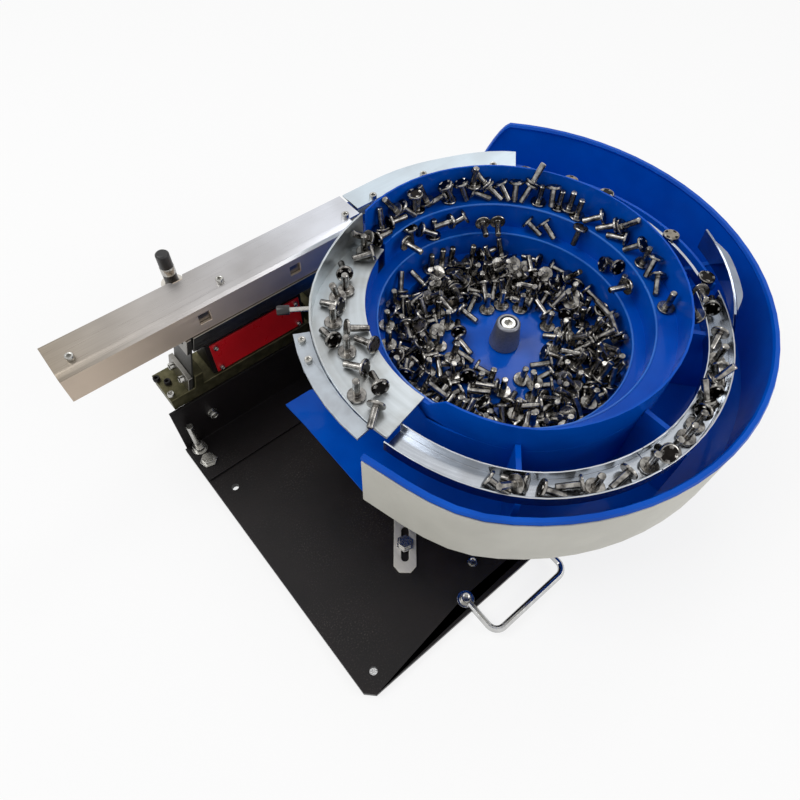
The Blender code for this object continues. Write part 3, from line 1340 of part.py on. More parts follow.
def build_trough():
    """Make the two lengths of stainless channel around the bowl."""
    half = TROUGH_WIDTH / 2
    spans = ((TROUGH_START, TROUGH_SPLIT - 0.1), (TROUGH_SPLIT + 0.1, TROUGH_END))
    for number, (start, end) in enumerate(spans):
        rows = []
        for azimuth in steps(start, end, 4.0):
            r = trough_radius(azimuth)
            rows.append([polar(azimuth, r - half, TROUGH_TOP), polar(azimuth, r - half, TROUGH_FLOOR),
                         polar(azimuth, r + half, TROUGH_FLOOR), polar(azimuth, r + half, TROUGH_TOP)])
        shell("trough_channel_%d" % (number + 1), rows, TROUGH_SHEET, "stainless", BOWL_AXIS)


def rail_point(angle, offset):
    """Return a plan point at an angle of the rails' arc, at an offset from the slot's middle."""
    a = math.radians(angle)
    r = RAIL_RADIUS + offset
    return (r * math.cos(a), RAIL_CENTRE_Y + r * math.sin(a))


def bar_width(angle):
    """Return the width of one rail, thin in front of the cover and broad under it."""
    first, last = RAIL_WIDENING
    return RAIL_STRIP_WIDTH + (RAIL_BAR_WIDTH - RAIL_STRIP_WIDTH) * ease((angle - first) / (last - first))


def rail_outline(side):
    """Return the outline of one rail: side is -1 for the inner and 1 for the outer one."""
    near, far = SLOT_WIDTH / 2, SLOT_WIDTH / 2 + RAIL_BAR_WIDTH
    angles = steps(RAIL_START, 90.0, 4.0)
    slot = [rail_point(a, side * near) for a in angles] + [(RAIL_END_X, SLOT_Y + side * near)]
    back = [rail_point(a, side * (near + bar_width(a))) for a in angles] + [(RAIL_END_X, SLOT_Y + side * far)]
    return slot + back[::-1]


def rail_middle(azimuth):
    """Return the radius of the rails' slot about the bowl's axis at an azimuth."""
    a = math.radians(azimuth)
    if azimuth > 90.0:
        return SLOT_Y / math.sin(a)
    drop = RAIL_CENTRE_Y * math.sin(a)
    return drop + math.sqrt(RAIL_RADIUS ** 2 - (RAIL_CENTRE_Y * math.cos(a)) ** 2)


def cover_seats():
    """Return where the rail cover's posts stand and its screws seat, on the inner rail."""
    offset = SLOT_WIDTH / 2 + RAIL_BAR_WIDTH / 2
    return [(polar(a, rail_middle(a) - offset, COVER_TOP), (0, 0, -1)) for a in BOWL_COVER_ANGLES]


def build_rails():
    """Make the two hanging rails and the cover over them."""
    low = level(RAIL_TOP - RAIL_BAR_HEIGHT)
    inner = flat("hanging_rail_inner", [rail_outline(-1)], RAIL_BAR_HEIGHT, "stainless", BOWL_AXIS, low, solid=True)
    flat("hanging_rail_outer", [rail_outline(1)], RAIL_BAR_HEIGHT, "stainless", BOWL_AXIS, low)
    edge = arc(0.0, RAIL_CENTRE_Y, RAIL_RADIUS - BOWL_COVER_IN, BOWL_COVER_START, 90.0, 4.0)
    edge += [(RAIL_END_X, SLOT_Y - BOWL_COVER_IN), (RAIL_END_X, SLOT_Y + BOWL_COVER_OUT)]
    for a in steps(90.0, BOWL_COVER_START, 4.0):
        flare = BOWL_COVER_FLARE * ease(1.0 - (a - BOWL_COVER_START) / BOWL_COVER_FLARE_SPAN)
        edge.append(rail_point(a, BOWL_COVER_OUT + flare))
    screwed_cover("rail_cover", edge, cover_seats(), inner)


def build_ribs():
    """Return the ribs that carry the trough, the rails and the deflector from the skirt."""
    made = []
    for azimuth in TROUGH_RIBS:
        start = skirt_radius(azimuth)
        r, half = trough_radius(azimuth), TROUGH_WIDTH / 2 + TROUGH_SHEET / 2 + GAP
        seat = TROUGH_FLOOR - TROUGH_SHEET / 2 - GAP
        foot, top = PAN_FLOOR_TOP + GAP, TROUGH_TOP - 4.0
        clear = start + SHEET / 2 + GAP + 0.2
        weld = skirt_top(azimuth - SPIRAL_ZERO + RIM_START) - 1.0
        made.append([azimuth, [(start, foot), (r + half, foot), (r + half, seat), (r - half, seat),
                               (r - half, top), (clear, top), (clear, weld), (start, weld)]])
    for azimuth in RAIL_RIBS:
        start, r = skirt_radius(azimuth), rail_middle(azimuth)
        far = r + SLOT_WIDTH / 2 + bar_width(azimuth)
        if azimuth < DEFLECTOR_END:
            far = deflector_radius(azimuth) + DEFLECTOR_SHEET
        seat = RAIL_TOP - RAIL_BAR_HEIGHT - GAP
        room = SLOT_WIDTH / 2 + 1.0
        made.append([azimuth, [(start, seat - 50.0), (far, seat - 26.0), (far, seat), (r + room, seat),
                               (r + room, RIB_NOTCH_FLOOR), (r - room, RIB_NOTCH_FLOOR), (r - room, seat),
                               (start, seat)]])
    return [flat("rib", [outline], RIB_THICK, "blue_coat", BOWL_AXIS, radial(azimuth, RIB_THICK), solid=True)
            for azimuth, outline in made]


def deflector_radius(azimuth, span=DEFLECTOR_FOOT):
    """Return the radius of the deflector's foot, or of its rim, at an azimuth."""
    t = (azimuth - DEFLECTOR_START) / (DEFLECTOR_END - DEFLECTOR_START)
    return span[0] * (1 - t) + span[1] * t


def build_deflector():
    """Make the flared guide outside the start of the rails."""
    rows = []
    foot = RAIL_TOP - RAIL_BAR_HEIGHT
    for azimuth in steps(DEFLECTOR_START, DEFLECTOR_END, 4.0):
        rows.append([polar(azimuth, deflector_radius(azimuth, DEFLECTOR_RIM), DEFLECTOR_TOP),
                     polar(azimuth, deflector_radius(azimuth), foot)])
    shell("deflector", rows, DEFLECTOR_SHEET, "stainless", BOWL_AXIS)


build_base()
build_stand()
build_linear_drive()
build_track()
build_feet()
build_drive()
build_bowl()
build_tray()
build_pan()
build_trough()
build_rails()
build_deflector()
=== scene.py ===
"""Looks of a vibratory bowl feeder with its linear discharge track.

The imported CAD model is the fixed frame. Each sub-assembly is a class that
copies its visible solids with rounded edges, adds the small fasteners, and
gives every surface a procedural finish drawn at its real size in millimetres.
The studs that the feeder sorts are dropped into the bowl by a rigid body
simulation, which is seeded and gives the same heap on every run.
"""

from __future__ import annotations

import json
import logging
import math
import random
from collections.abc import Callable, Iterable, Sequence
from dataclasses import dataclass, field, replace
from enum import Enum

import bmesh
import bpy
from mathutils import Euler, Matrix, Vector

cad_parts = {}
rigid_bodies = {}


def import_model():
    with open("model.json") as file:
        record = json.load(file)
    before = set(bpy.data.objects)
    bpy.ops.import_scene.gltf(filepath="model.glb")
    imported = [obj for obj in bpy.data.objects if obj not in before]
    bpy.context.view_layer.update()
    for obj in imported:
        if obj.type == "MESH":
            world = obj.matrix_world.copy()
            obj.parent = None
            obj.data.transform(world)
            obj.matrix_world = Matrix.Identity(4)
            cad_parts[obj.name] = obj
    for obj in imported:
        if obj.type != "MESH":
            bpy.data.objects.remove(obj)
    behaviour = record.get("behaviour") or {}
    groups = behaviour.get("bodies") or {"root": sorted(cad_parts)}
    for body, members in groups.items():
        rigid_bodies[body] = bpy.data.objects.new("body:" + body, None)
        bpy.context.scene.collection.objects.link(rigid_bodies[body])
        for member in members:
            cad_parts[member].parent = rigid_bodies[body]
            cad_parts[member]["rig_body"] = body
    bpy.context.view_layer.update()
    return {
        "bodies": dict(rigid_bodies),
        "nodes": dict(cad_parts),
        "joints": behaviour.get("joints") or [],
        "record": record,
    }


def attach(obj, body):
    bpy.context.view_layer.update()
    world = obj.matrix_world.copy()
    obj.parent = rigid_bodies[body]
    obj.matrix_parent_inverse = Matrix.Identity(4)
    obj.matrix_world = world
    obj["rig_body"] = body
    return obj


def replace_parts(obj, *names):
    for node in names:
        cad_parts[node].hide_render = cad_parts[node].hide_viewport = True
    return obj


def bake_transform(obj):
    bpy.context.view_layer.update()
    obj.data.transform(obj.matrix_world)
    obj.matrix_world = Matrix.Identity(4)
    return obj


LOG = logging.getLogger("bowl_feeder")

MM = 0.001
FULL_TURN = 2 * math.pi
WELD = 2e-6
FLAT_ANGLE = math.radians(0.5)
SHARP_ANGLE = math.radians(35)
BEVEL_ANGLE = math.radians(30)
BEVEL_STEPS = 2
HEX_CORNER = math.radians(30)
SCREW_SIDES = 24
# A grain around the bowl's axis has its stated length at this radius.
GRAIN_RADIUS_MM = 200
# Depth of a full bump: rolled paint and bands, or lines and grit in metal.
COAT_DEPTH_MM = 0.2
METAL_DEPTH_MM = 0.1

Point = tuple[float, float, float]
Colour = tuple[float, float, float, float]
Span = tuple[float, float]
Tree = bpy.types.NodeTree
Socket = bpy.types.NodeSocket


def linear_colour(hex_value: str) -> Colour:
    """Turn an sRGB hex value into the linear colour that the shaders take.

    Args:
        hex_value: Six hexadecimal digits with a leading hash sign.

    Returns:
        Linear red, green and blue, and an alpha of 1.
    """
    parts = [int(hex_value[i : i + 2], 16) / 255 for i in (1, 3, 5)]
    linear = [c / 12.92 if c <= 0.04045 else ((c + 0.055) / 1.055) ** 2.4 for c in parts]
    return (linear[0], linear[1], linear[2], 1.0)


def add_node(
    tree: Tree, kind: str, inputs: dict[str | int, object] | None = None, **settings: object
) -> bpy.types.Node:
    """Add a node with its settings and links.

    Args:
        tree: The node tree that it goes into.
        kind: The node's type name.
        inputs: A value, or a socket to link, for each named or numbered input.
        **settings: Properties of the node itself.

    Returns:
        The new node.
    """
    made = tree.nodes.new(kind)
    for name, value in settings.items():
        setattr(made, name, value)
    for key, value in (inputs or {}).items():
        if isinstance(value, Socket):
            tree.links.new(value, made.inputs[key])
        else:
            made.inputs[key].default_value = value
    return made


def empty_tree(owner: bpy.types.Material | bpy.types.World) -> Tree:
    """Turn on the nodes of a material or of the world, and clear them.

    Args:
        owner: What the nodes belong to.

    Returns:
        The empty tree.
    """
    owner.use_nodes = True
    owner.node_tree.nodes.clear()
    return owner.node_tree


class Grain(Enum):
    """Direction in which a surface was worked: its stretch along each axis."""

    NONE = (0, 0, 0)
    ALONG_X = (1, 0, 0)
    ALONG_Y = (0, 1, 0)
    AROUND_AXIS = (2, 0, 0)


@dataclass(frozen=True)
class Finish:
    """A surface finish, from which one material is made.

    Attributes:
        name: The material's name.
        slot: The record's slot for the pieces that wear it.
        colour: The main colour.
        second: The colour that its pattern brings in.
        share: How much of it comes in at most; for bands, of the main colour.
        roughness: The middle roughness.
        detail_mm: Width of one roll, line, grain or band of the surface.
        relief: Strength of the bump that these make.
        spread: Difference between the roughest and the smoothest places.
        metallic: One for bare metal.
    """

    name: str
    slot: str
    colour: str
    second: str
    share: float
    roughness: float
    detail_mm: float
    relief: float
    spread: float = 0.12
    metallic: float = 0.0

    def material(self) -> bpy.types.Material:
        """Make the material, or give back the one already made.

        Returns:
            The material, which every piece with this finish shares.
        """
        found = bpy.data.materials.get(self.name)
        if found is not None:
            return found
        made = bpy.data.materials.new(self.name)
        tree = empty_tree(made)
        shader = add_node(tree, "ShaderNodeBsdfPrincipled", {"Metallic": self.metallic})
        add_node(tree, "ShaderNodeOutputMaterial", {"Surface": shader.outputs["BSDF"]})
        self.dress(tree, shader)
        return made

    def dress(self, tree: Tree, shader: bpy.types.Node) -> None:
        """Add the finish's own patterns to its shader."""
        raise NotImplementedError

    @staticmethod
    def over(tree: Tree, tint: Colour | Socket, top: str, where: Socket, share: float) -> Socket:
        """Lay a colour over another one where a pattern is high.

        Args:
            tree: The material's nodes.
            tint: The colour below.
            top: The colour that comes over it.
            where: The pattern, from 0 to 1.
            share: How much of the top colour there is at most.

        Returns:
            The socket that carries both colours.
        """
        amount = add_node(
            tree, "ShaderNodeMath", {0: where, 1: share}, operation="MULTIPLY"
        ).outputs[0]
        return add_node(
            tree,
            "ShaderNodeMix",
            {0: amount, 6: tint, 7: linear_colour(top)},
            data_type="RGBA",
        ).outputs[2]

    def lay(
        self,
        tree: Tree,
        shader: bpy.types.Node,
        tint: Socket,
        wear: Socket,
        height: Socket,
        depth_mm: float,
    ) -> None:
        """Link the colour, the roughness and the bump to the shader.

        Args:
            tree: The material's nodes.
            shader: The shader that takes them.
            tint: The finished colour.
            wear: Pattern of smooth and rough places, from 0 to 1.
            height: Pattern of the relief, from 0 to 1.
            depth_mm: Depth of the relief at its full strength.
        """
        half = self.spread / 2
        rough = add_node(
            tree,
            "ShaderNodeMapRange",
            {"Value": wear, "To Min": self.roughness - half, "To Max": self.roughness + half},
        ).outputs[0]
        bump = add_node(
            tree,
            "ShaderNodeBump",
            {"Height": height, "Strength": self.relief, "Distance": depth_mm * MM},
        ).outputs[0]
        for name, socket in (("Base Color", tint), ("Roughness", rough), ("Normal", bump)):
            tree.links.new(socket, shader.inputs[name])

    @staticmethod
    def pattern(
        tree: Tree,
        size_mm: float,
        window: Span,
        grain: Grain = Grain.NONE,
        length_mm: float = 40.0,
        detail: float = 3.0,
        shift: float = 0.0,
    ) -> Socket:
        """Noise of a real size, spread over 0 to 1.

        Args:
            tree: The material's nodes.
            size_mm: Width of one feature.
            window: The part of the noise's range that becomes 0 to 1.
            grain: Direction in which features are drawn out.
            length_mm: Length of a drawn-out feature.
            detail: Octaves of finer noise.
            shift: Offset in metres, so that two patterns differ.

        Returns:
            The socket that carries the pattern.
        """
        place = add_node(tree, "ShaderNodeTexCoord").outputs["Object"]
        if grain is Grain.AROUND_AXIS:
            flat = add_node(
                tree, "ShaderNodeVectorMath", {0: place, 1: (1, 1, 0)}, operation="MULTIPLY"
            ).outputs[0]
            radius = add_node(tree, "ShaderNodeVectorMath", {0: flat}, operation="LENGTH")
            x, y, z = add_node(tree, "ShaderNodeSeparateXYZ", {0: place}).outputs
            angle = add_node(tree, "ShaderNodeMath", {0: y, 1: x}, operation="ARCTAN2")
            arc = add_node(
                tree,
                "ShaderNodeMath",
                {0: angle.outputs[0], 1: GRAIN_RADIUS_MM * MM},
                operation="MULTIPLY",
            )
            place = add_node(
                tree,
                "ShaderNodeCombineXYZ",
                {0: arc.outputs[0], 1: radius.outputs["Value"], 2: z},
            ).outputs[0]
        scale = [1 / MM / (length_mm if drawn else size_mm) for drawn in grain.value]
        spread = add_node(
            tree,
            "ShaderNodeMapping",
            {"Vector": place, "Location": (shift, shift, shift), "Scale": scale},
        ).outputs[0]
        noise = add_node(
            tree, "ShaderNodeTexNoise", {"Vector": spread, "Scale": 1.0, "Detail": detail}
        ).outputs[0]
        return add_node(
            tree,
            "ShaderNodeMapRange",
            {"Value": noise, "From Min": window[0], "From Max": window[1]},
        ).outputs[0]


@dataclass(frozen=True)
class StovedPaint(Finish):
    """Sprayed and stoved coating: orange peel, a clear sheen, dust and rubs.

    Rolls of paint are drawn at their real width. The grit of powder coat is
    too fine to show, and is drawn about a millimetre wide.
    """

    spread: float = 0.08
    dust: str = ""
    dust_share: float = 0.0
    sheen: float = 0.5
    coat: float = 0.0
    coat_roughness: float = 0.1
    CLOUD_MM = 45
    DRIFT_MM = 70
    SPECK_MM = 1.6
    RUB_MM = 18

    def dress(self, tree: Tree, shader: bpy.types.Node) -> None:
        """Cloud the colour, dust it, and roll the surface like orange peel.

        Args:
            tree: The material's nodes.
            shader: The shader that takes the patterns.
        """
        shader.inputs["Specular IOR Level"].default_value = self.sheen
        shader.inputs["Coat Weight"].default_value = self.coat
        shader.inputs["Coat Roughness"].default_value = self.coat_roughness
        cloud = self.pattern(tree, self.CLOUD_MM, (0.3, 0.75))
        tint = self.over(tree, linear_colour(self.colour), self.second, cloud, self.share)
        if self.dust:
            # Dust settles in soft drifts made of separate specks.
            drift = self.pattern(tree, self.DRIFT_MM, (0.45, 0.8), shift=0.31)
            specks = self.pattern(tree, self.SPECK_MM, (0.56, 0.74), detail=1.0)
            both = add_node(
                tree, "ShaderNodeMath", {0: drift, 1: specks}, operation="MULTIPLY"
            ).outputs[0]
            tint = self.over(tree, tint, self.dust, both, self.dust_share)
        rub = self.pattern(tree, self.RUB_MM, (0.3, 0.7), shift=0.17)
        peel = self.pattern(tree, self.detail_mm, (0.2, 0.8), detail=1.0)
        self.lay(tree, shader, tint, rub, peel, COAT_DEPTH_MM)


@dataclass(frozen=True)
class Moulding(StovedPaint):
    """Moulded rubber or plastic, which takes dust and rubs as paint does.

    The mould's texture is too fine to show, and is drawn about a millimetre
    wide.
    """


@dataclass(frozen=True)
class BrushedMetal(Finish):
    """Rolled, ground or brushed metal with a grain in one direction.

    Real grain lines are under a tenth of a millimetre, too fine to show, so
    they are drawn as coarse as they need to be: half a millimetre on small
    bars, and up to five on the tray, whose sheen they only have to break.
    """

    spread: float = 0.15
    metallic: float = 1.0
    # Handling marks; on the track's sheet the same pattern paints a dark reflection.
    stain_and_reflection: str = "#6A5F55"
    stain_and_reflection_share: float = 0.25
    stain_and_reflection_mm: float = 28.0
    grain: Grain = Grain.ALONG_X
    line_length_mm: float = 60.0
    # Painted light: the colour that the surface fades to at its far end, by the bowl, and where
    # along x the fade runs.
    far_painted_light: str = ""
    painted_light_fade_mm: Span = (-400.0, -60.0)

    def dress(self, tree: Tree, shader: bpy.types.Node) -> None:
        """Draw the grain lines, light and dark, over faint handling marks and painted dark
        reflections.

        Args:
            tree: The material's nodes.
            shader: The shader that takes the patterns.
        """
        lines = self.pattern(
            tree, self.detail_mm, (0.3, 0.7), self.grain, self.line_length_mm
        )
        tint = self.over(tree, linear_colour(self.colour), self.second, lines, self.share)
        # Painted light: the colour fades along x, brighter towards the bowl.
        if self.far_painted_light:
            tint = self.fade_painted_light(tree, tint)
        # Handling marks, which on the track's sheet are a painted dark reflection.
        cloud = self.pattern(tree, self.stain_and_reflection_mm, (0.42, 0.75), shift=0.23)
        tint = self.over(tree, tint, self.stain_and_reflection, cloud, self.stain_and_reflection_share)
        self.lay(tree, shader, tint, lines, lines, METAL_DEPTH_MM)

    def fade_painted_light(self, tree: Tree, tint: Socket) -> Socket:
        """Paint light along x: turn the colour into that of the surface's far end, by the bowl.

        Args:
            tree: The material's nodes.
            tint: The colour of the near end.

        Returns:
            The socket that carries the fading colour.
        """
        place = add_node(tree, "ShaderNodeTexCoord").outputs["Object"]
        along = add_node(tree, "ShaderNodeSeparateXYZ", {0: place}).outputs[0]
        start, end = self.painted_light_fade_mm
        share = add_node(
            tree,
            "ShaderNodeMapRange",
            {"Value": along, "From Min": start * MM, "From Max": end * MM},
        ).outputs[0]
        return add_node(
            tree,
            "ShaderNodeMix",
            {0: share, 6: tint, 7: linear_colour(self.far_painted_light)},
            data_type="RGBA",
        ).outputs[2]


@dataclass(frozen=True)
class GrainedMetal(Finish):
    """Metal with an even grain: bead-blasted, plated or heat treated.

    Its real grit is too fine to show, and is drawn about five times coarser.
    """

    metallic: float = 1.0
    patch_mm: float = 14.0

    def dress(self, tree: Tree, shader: bpy.types.Node) -> None:
        """Mottle the colour in patches and pit the surface with its grit.

        Args:
            tree: The material's nodes.
            shader: The shader that takes the patterns.
        """
        patches = self.pattern(tree, self.patch_mm, (0.35, 0.68))
        tint = self.over(tree, linear_colour(self.colour), self.second, patches, self.share)
        wear = self.pattern(tree, self.patch_mm / 3, (0.3, 0.7), shift=0.11)
        grit = self.pattern(tree, self.detail_mm, (0.25, 0.75), detail=1.0)
        self.lay(tree, shader, tint, wear, grit, METAL_DEPTH_MM)


@dataclass(frozen=True)
class BandedFinish(Finish):
    """A material laid in bands: wound wire, or woven glass under resin."""

    ways: str = "Z"
    WEAR_MM = 4
    WAVER = 0.4

    def dress(self, tree: Tree, shader: bpy.types.Node) -> None:
        """Draw the bands, and where it is woven a second set across them.

        Args:
            tree: The material's nodes.
            shader: The shader that takes the patterns.
        """
        place = add_node(tree, "ShaderNodeTexCoord").outputs["Object"]
        # A wave texture at scale s repeats every pi / (10 s) metres.
        scale = math.pi / (10 * self.detail_mm * MM)
        bands = [
            add_node(
                tree,
                "ShaderNodeTexWave",
                {"Vector": place, "Scale": scale, "Distortion": self.WAVER},
                bands_direction=way,
            ).outputs["Fac"]
            for way in self.ways
        ]
        laid = bands[0]
        for other in bands[1:]:
            laid = add_node(
                tree, "ShaderNodeMath", {0: laid, 1: other}, operation="MULTIPLY"
            ).outputs[0]
        tint = self.over(tree, linear_colour(self.second), self.colour, laid, self.share)
        wear = self.pattern(tree, self.WEAR_MM, (0.3, 0.7))
        self.lay(tree, shader, tint, wear, laid, COAT_DEPTH_MM)


# Stoved epoxy on spun steel sheet: a deep wet-looking blue with soft rolls.
BLUE = StovedPaint(
    "blue_stoved_epoxy", "blue_coat", "#0056C4", "#00389A",
    share=0.5, roughness=0.2, detail_mm=3.0, relief=0.14,
    spread=0.1, dust="#3F84E0", dust_share=0.1, sheen=0.1, coat=0.1, coat_roughness=0.05,
)
# The outer hanging rail is steel in the record and painted like the bowl.
PAINTED_RAIL = replace(BLUE, slot="stainless")
# Lips of the turns: the same coat, rubbed where studs slide over, and painted pale as a highlight
# line along each lip.
LIP_WEAR_AND_HIGHLIGHT = StovedPaint(
    "blue_lip_wear_and_painted_highlight", "blue_coat", "#2A74D6", "#1557B8",
    share=0.6, roughness=0.2, detail_mm=4.0, relief=0.1,
    dust="#7DB0EE", dust_share=0.25, sheen=0.3, coat=0.2, coat_roughness=0.05,
)
# The pan's outside: satin cream powder coat, a little grey where it is handled.
CREAM = StovedPaint(
    "cream_powder_coat", "cream_coat", "#CFCDC3", "#B4B2A8",
    share=0.5, roughness=0.5, detail_mm=1.6, relief=0.22,
    dust="#8E8B82", dust_share=0.18,
)
# The base and stand: satin black powder coat, brown in raking light, dusty.
BLACK = StovedPaint(
    "black_powder_coat", "black_coat", "#0F0D0E", "#191415",
    share=0.8, roughness=0.44, detail_mm=1.1, relief=0.35,
    dust="#6E6863", dust_share=0.3, sheen=0.22,
)
# Side covers of the linear drive: wet-sprayed dark red enamel.
RED = StovedPaint(
    "red_enamel", "red_coat", "#C4161F", "#980D14",
    share=0.5, roughness=0.3, detail_mm=2.0, relief=0.15,
    dust="#C06A60", dust_share=0.15, sheen=0.4,
)
# Rubber mounts: moulded, matt, slightly bloomed.
RUBBER = Moulding(
    "moulded_natural_rubber", "rubber", "#1B1A1A", "#2A2928",
    share=0.6, roughness=0.72, detail_mm=0.9, relief=0.3,
    dust="#6A6763", dust_share=0.25, sheen=0.25,
)
# Sensor barrel: moulded black plastic, fine spark-eroded texture.
SENSOR = Moulding(
    "moulded_black_plastic", "sensor_case", "#151516", "#202022",
    share=0.5, roughness=0.38, detail_mm=0.8, relief=0.2,
)
# Rolled sheet over the track, its colour all painted reflection: brown and patched dark where it
# mirrors the shop, white by the bowl.
SHEET = BrushedMetal(
    "rolled_stainless_sheet", "stainless", "#938879", "#AFA597",
    share=0.4, roughness=0.34, detail_mm=0.7, relief=0.08,
    stain_and_reflection="#6E675F", stain_and_reflection_share=0.45, stain_and_reflection_mm=110, far_painted_light="#DDE0E8",
)
# The bowl's own cover: the same sheet, painted cooler and brighter as painted light from the
# window.
SHEET_PAINTED_WINDOW_LIGHT = BrushedMetal(
    "rolled_stainless_painted_window_light", "stainless", "#C6D2DB", "#D9E4EB",
    share=0.35, roughness=0.36, detail_mm=0.7, relief=0.05,
    stain_and_reflection="#A3A6A8", stain_and_reflection_share=0.5, stain_and_reflection_mm=60,
)
# Spun and bent rails: the same steel, with its grain around the bowl; its cool blue-grey tint is a
# painted reflection of the blue pan.
RING = BrushedMetal(
    "polished_stainless_ring", "stainless", "#B4B9C0", "#D6DCE4",
    share=0.35, roughness=0.2, detail_mm=2.5, relief=0.03,
    spread=0.08, stain_and_reflection="#7E7A76", stain_and_reflection_share=0.5, stain_and_reflection_mm=34, grain=Grain.AROUND_AXIS,
    line_length_mm=90,
)
# The tray's sheet: satin ground along the way the studs travel.
TRAY = BrushedMetal(
    "satin_ground_tray_sheet", "frosted_aluminium", "#B3B9BC", "#D0D6DB",
    share=0.5, roughness=0.36, detail_mm=5.0, relief=0.02,
    spread=0.12, stain_and_reflection="#8C877D", stain_and_reflection_share=0.6, stain_and_reflection_mm=34, grain=Grain.AROUND_AXIS,
    line_length_mm=120,
)
# The deflector's inner face: mirror polished; its blue-grey colour is a painted reflection of the
# bowl.
MIRROR = BrushedMetal(
    "mirror_polished_stainless", "stainless", "#8F97A5", "#A7AFBC",
    share=0.3, roughness=0.13, detail_mm=1.5, relief=0.03,
    spread=0.06, stain_and_reflection="#5F6570", stain_and_reflection_share=0.4, grain=Grain.AROUND_AXIS,
)
# The track's side plates: the sheet as it comes from the mill, duller than its cover, and painted
# lighter towards the bowl end as painted light.
MILL = BrushedMetal(
    "mill_stainless_side_plate", "stainless", "#CBBBAA", "#DACDBE",
    share=0.4, roughness=0.55, detail_mm=0.7, relief=0.08,
    stain_and_reflection="#8A7D72", stain_and_reflection_share=0.35, stain_and_reflection_mm=80, far_painted_light="#E2D2C2", painted_light_fade_mm=(-350, -110),
)
# Straps and small brackets: mill-finish stainless with cut edges.
STRAP = BrushedMetal(
    "mill_stainless_strap", "stainless", "#C9C5BD", "#DCD9D3",
    share=0.5, roughness=0.5, detail_mm=0.7, relief=0.15,
    stain_and_reflection="#77716A", grain=Grain.ALONG_Y, line_length_mm=30,
)
# Surface-ground steel bars: fine, even, a little dark with oil.
GROUND = BrushedMetal(
    "surface_ground_steel", "ground_steel", "#7E7C77", "#A09D97",
    share=0.5, roughness=0.33, detail_mm=0.5, relief=0.15,
    stain_and_reflection="#55504A", stain_and_reflection_share=0.4, line_length_mm=25,
)
# The clamping nut: turned steel, blackened in oil.
BLACKENED = BrushedMetal(
    "oil_blackened_steel", "black_coat", "#6F7075", "#9C9DA3",
    share=0.5, roughness=0.34, detail_mm=0.5, relief=0.15,
    metallic=0.55, stain_and_reflection="#3A393C", grain=Grain.AROUND_AXIS, line_length_mm=30,
)
# Bead-blasted aluminium: bright, without direction, faintly scuffed by parts.
FROSTED = GrainedMetal(
    "bead_blasted_aluminium", "frosted_aluminium", "#AEB5BC", "#96999E",
    share=0.6, roughness=0.44, detail_mm=0.7, relief=0.25,
    patch_mm=16,
)
# Olive chromate over zinc: patchy green and straw, half matt.
ZINC = GrainedMetal(
    "olive_chromated_zinc", "zinc_steel", "#4C4A35", "#6A654D",
    share=0.8, roughness=0.5, detail_mm=0.8, relief=0.2,
    patch_mm=9,
)
# Screws and nuts: bright zinc, with the roundness of cold heading.
SCREW = GrainedMetal(
    "bright_zinc_plate", "stainless", "#B9B8B4", "#8F8C86",
    share=0.5, roughness=0.26, detail_mm=0.5, relief=0.1,
    patch_mm=4,
)
# Carry handle: drawn rod, nickel and chrome plated, nearly a mirror.
CHROME = GrainedMetal(
    "chrome_plated_rod", "chrome", "#C9C9C8", "#8D8B88",
    share=0.35, roughness=0.14, detail_mm=1.2, relief=0.06,
    spread=0.08, patch_mm=7,
)
# The studs' shanks and rims: drawn steel, in bright and dark patches that paint reflections of
# their surroundings.
STUD_SHANK = GrainedMetal(
    "drawn_stud_steel", "ground_steel", "#A3A09B", "#3A3837",
    share=0.9, roughness=0.2, detail_mm=0.9, relief=0.1,
    patch_mm=6,
)
# Head faces: a brown black with a hard gloss, a painted reflection of dark surroundings on the
# flat faces.
STUD_FACE = GrainedMetal(
    "head_face_painted_dark_reflection", "ground_steel", "#24211F", "#131211",
    share=0.85, roughness=0.22, detail_mm=0.9, relief=0.12,
    spread=0.14, patch_mm=7,
)
# Other heads: straw and grey, a little rubbed.
STUD_FACE_PALE = GrainedMetal(
    "straw_tempered_head_face", "ground_steel", "#8C857A", "#605A52",
    share=0.8, roughness=0.3, detail_mm=0.9, relief=0.12,
    patch_mm=7,
)
# Coil: varnished copper wire, turn beside turn.
WINDING = BandedFinish(
    "varnished_copper_winding", "winding", "#A4642C", "#4E2A12",
    share=1.0, roughness=0.3, detail_mm=1.2, relief=0.4,
    metallic=0.8,
)
# Leaf springs: woven glass cloth pressed in black epoxy.
LAMINATE = BandedFinish(
    "glass_epoxy_laminate", "spring_laminate", "#2A2A26", "#161614",
    share=1.0, roughness=0.42, detail_mm=1.0, relief=0.25,
    ways="ZY",
)


def around(azimuth: float, radius: float) -> Span:
    """The point at an azimuth in degrees and a radius about the bowl's axis."""
    angle = math.radians(azimuth)
    return radius * math.cos(angle), radius * math.sin(angle)


def seat(x: float, y: float, z: float, out: Point = (0, 0, 1)) -> Matrix:
    """A seat's place, in millimetres, with its z axis turned to the way out."""
    way = Vector(out).to_track_quat("Z", "Y").to_matrix().to_4x4()
    return Matrix.Translation((x, y, z)) @ way


def add_object(name: str, data: bpy.types.ID) -> bpy.types.Object:
    """Make an object of its data and put it into the scene.

    Args:
        name: The object's name.
        data: Its mesh, lamp or camera.

    Returns:
        The object.
    """
    made = bpy.data.objects.new(name, data)
    bpy.context.scene.collection.objects.link(made)
    return made


def plain_mesh(tool: bmesh.types.BMesh, name: str) -> bpy.types.Mesh:
    """Turn a surface under construction into a mesh.

    Args:
        tool: The surface, which is used up.
        name: The mesh's name.

    Returns:
        The mesh.
    """
    made = bpy.data.meshes.new(name)
    tool.to_mesh(made)
    tool.free()
    return made


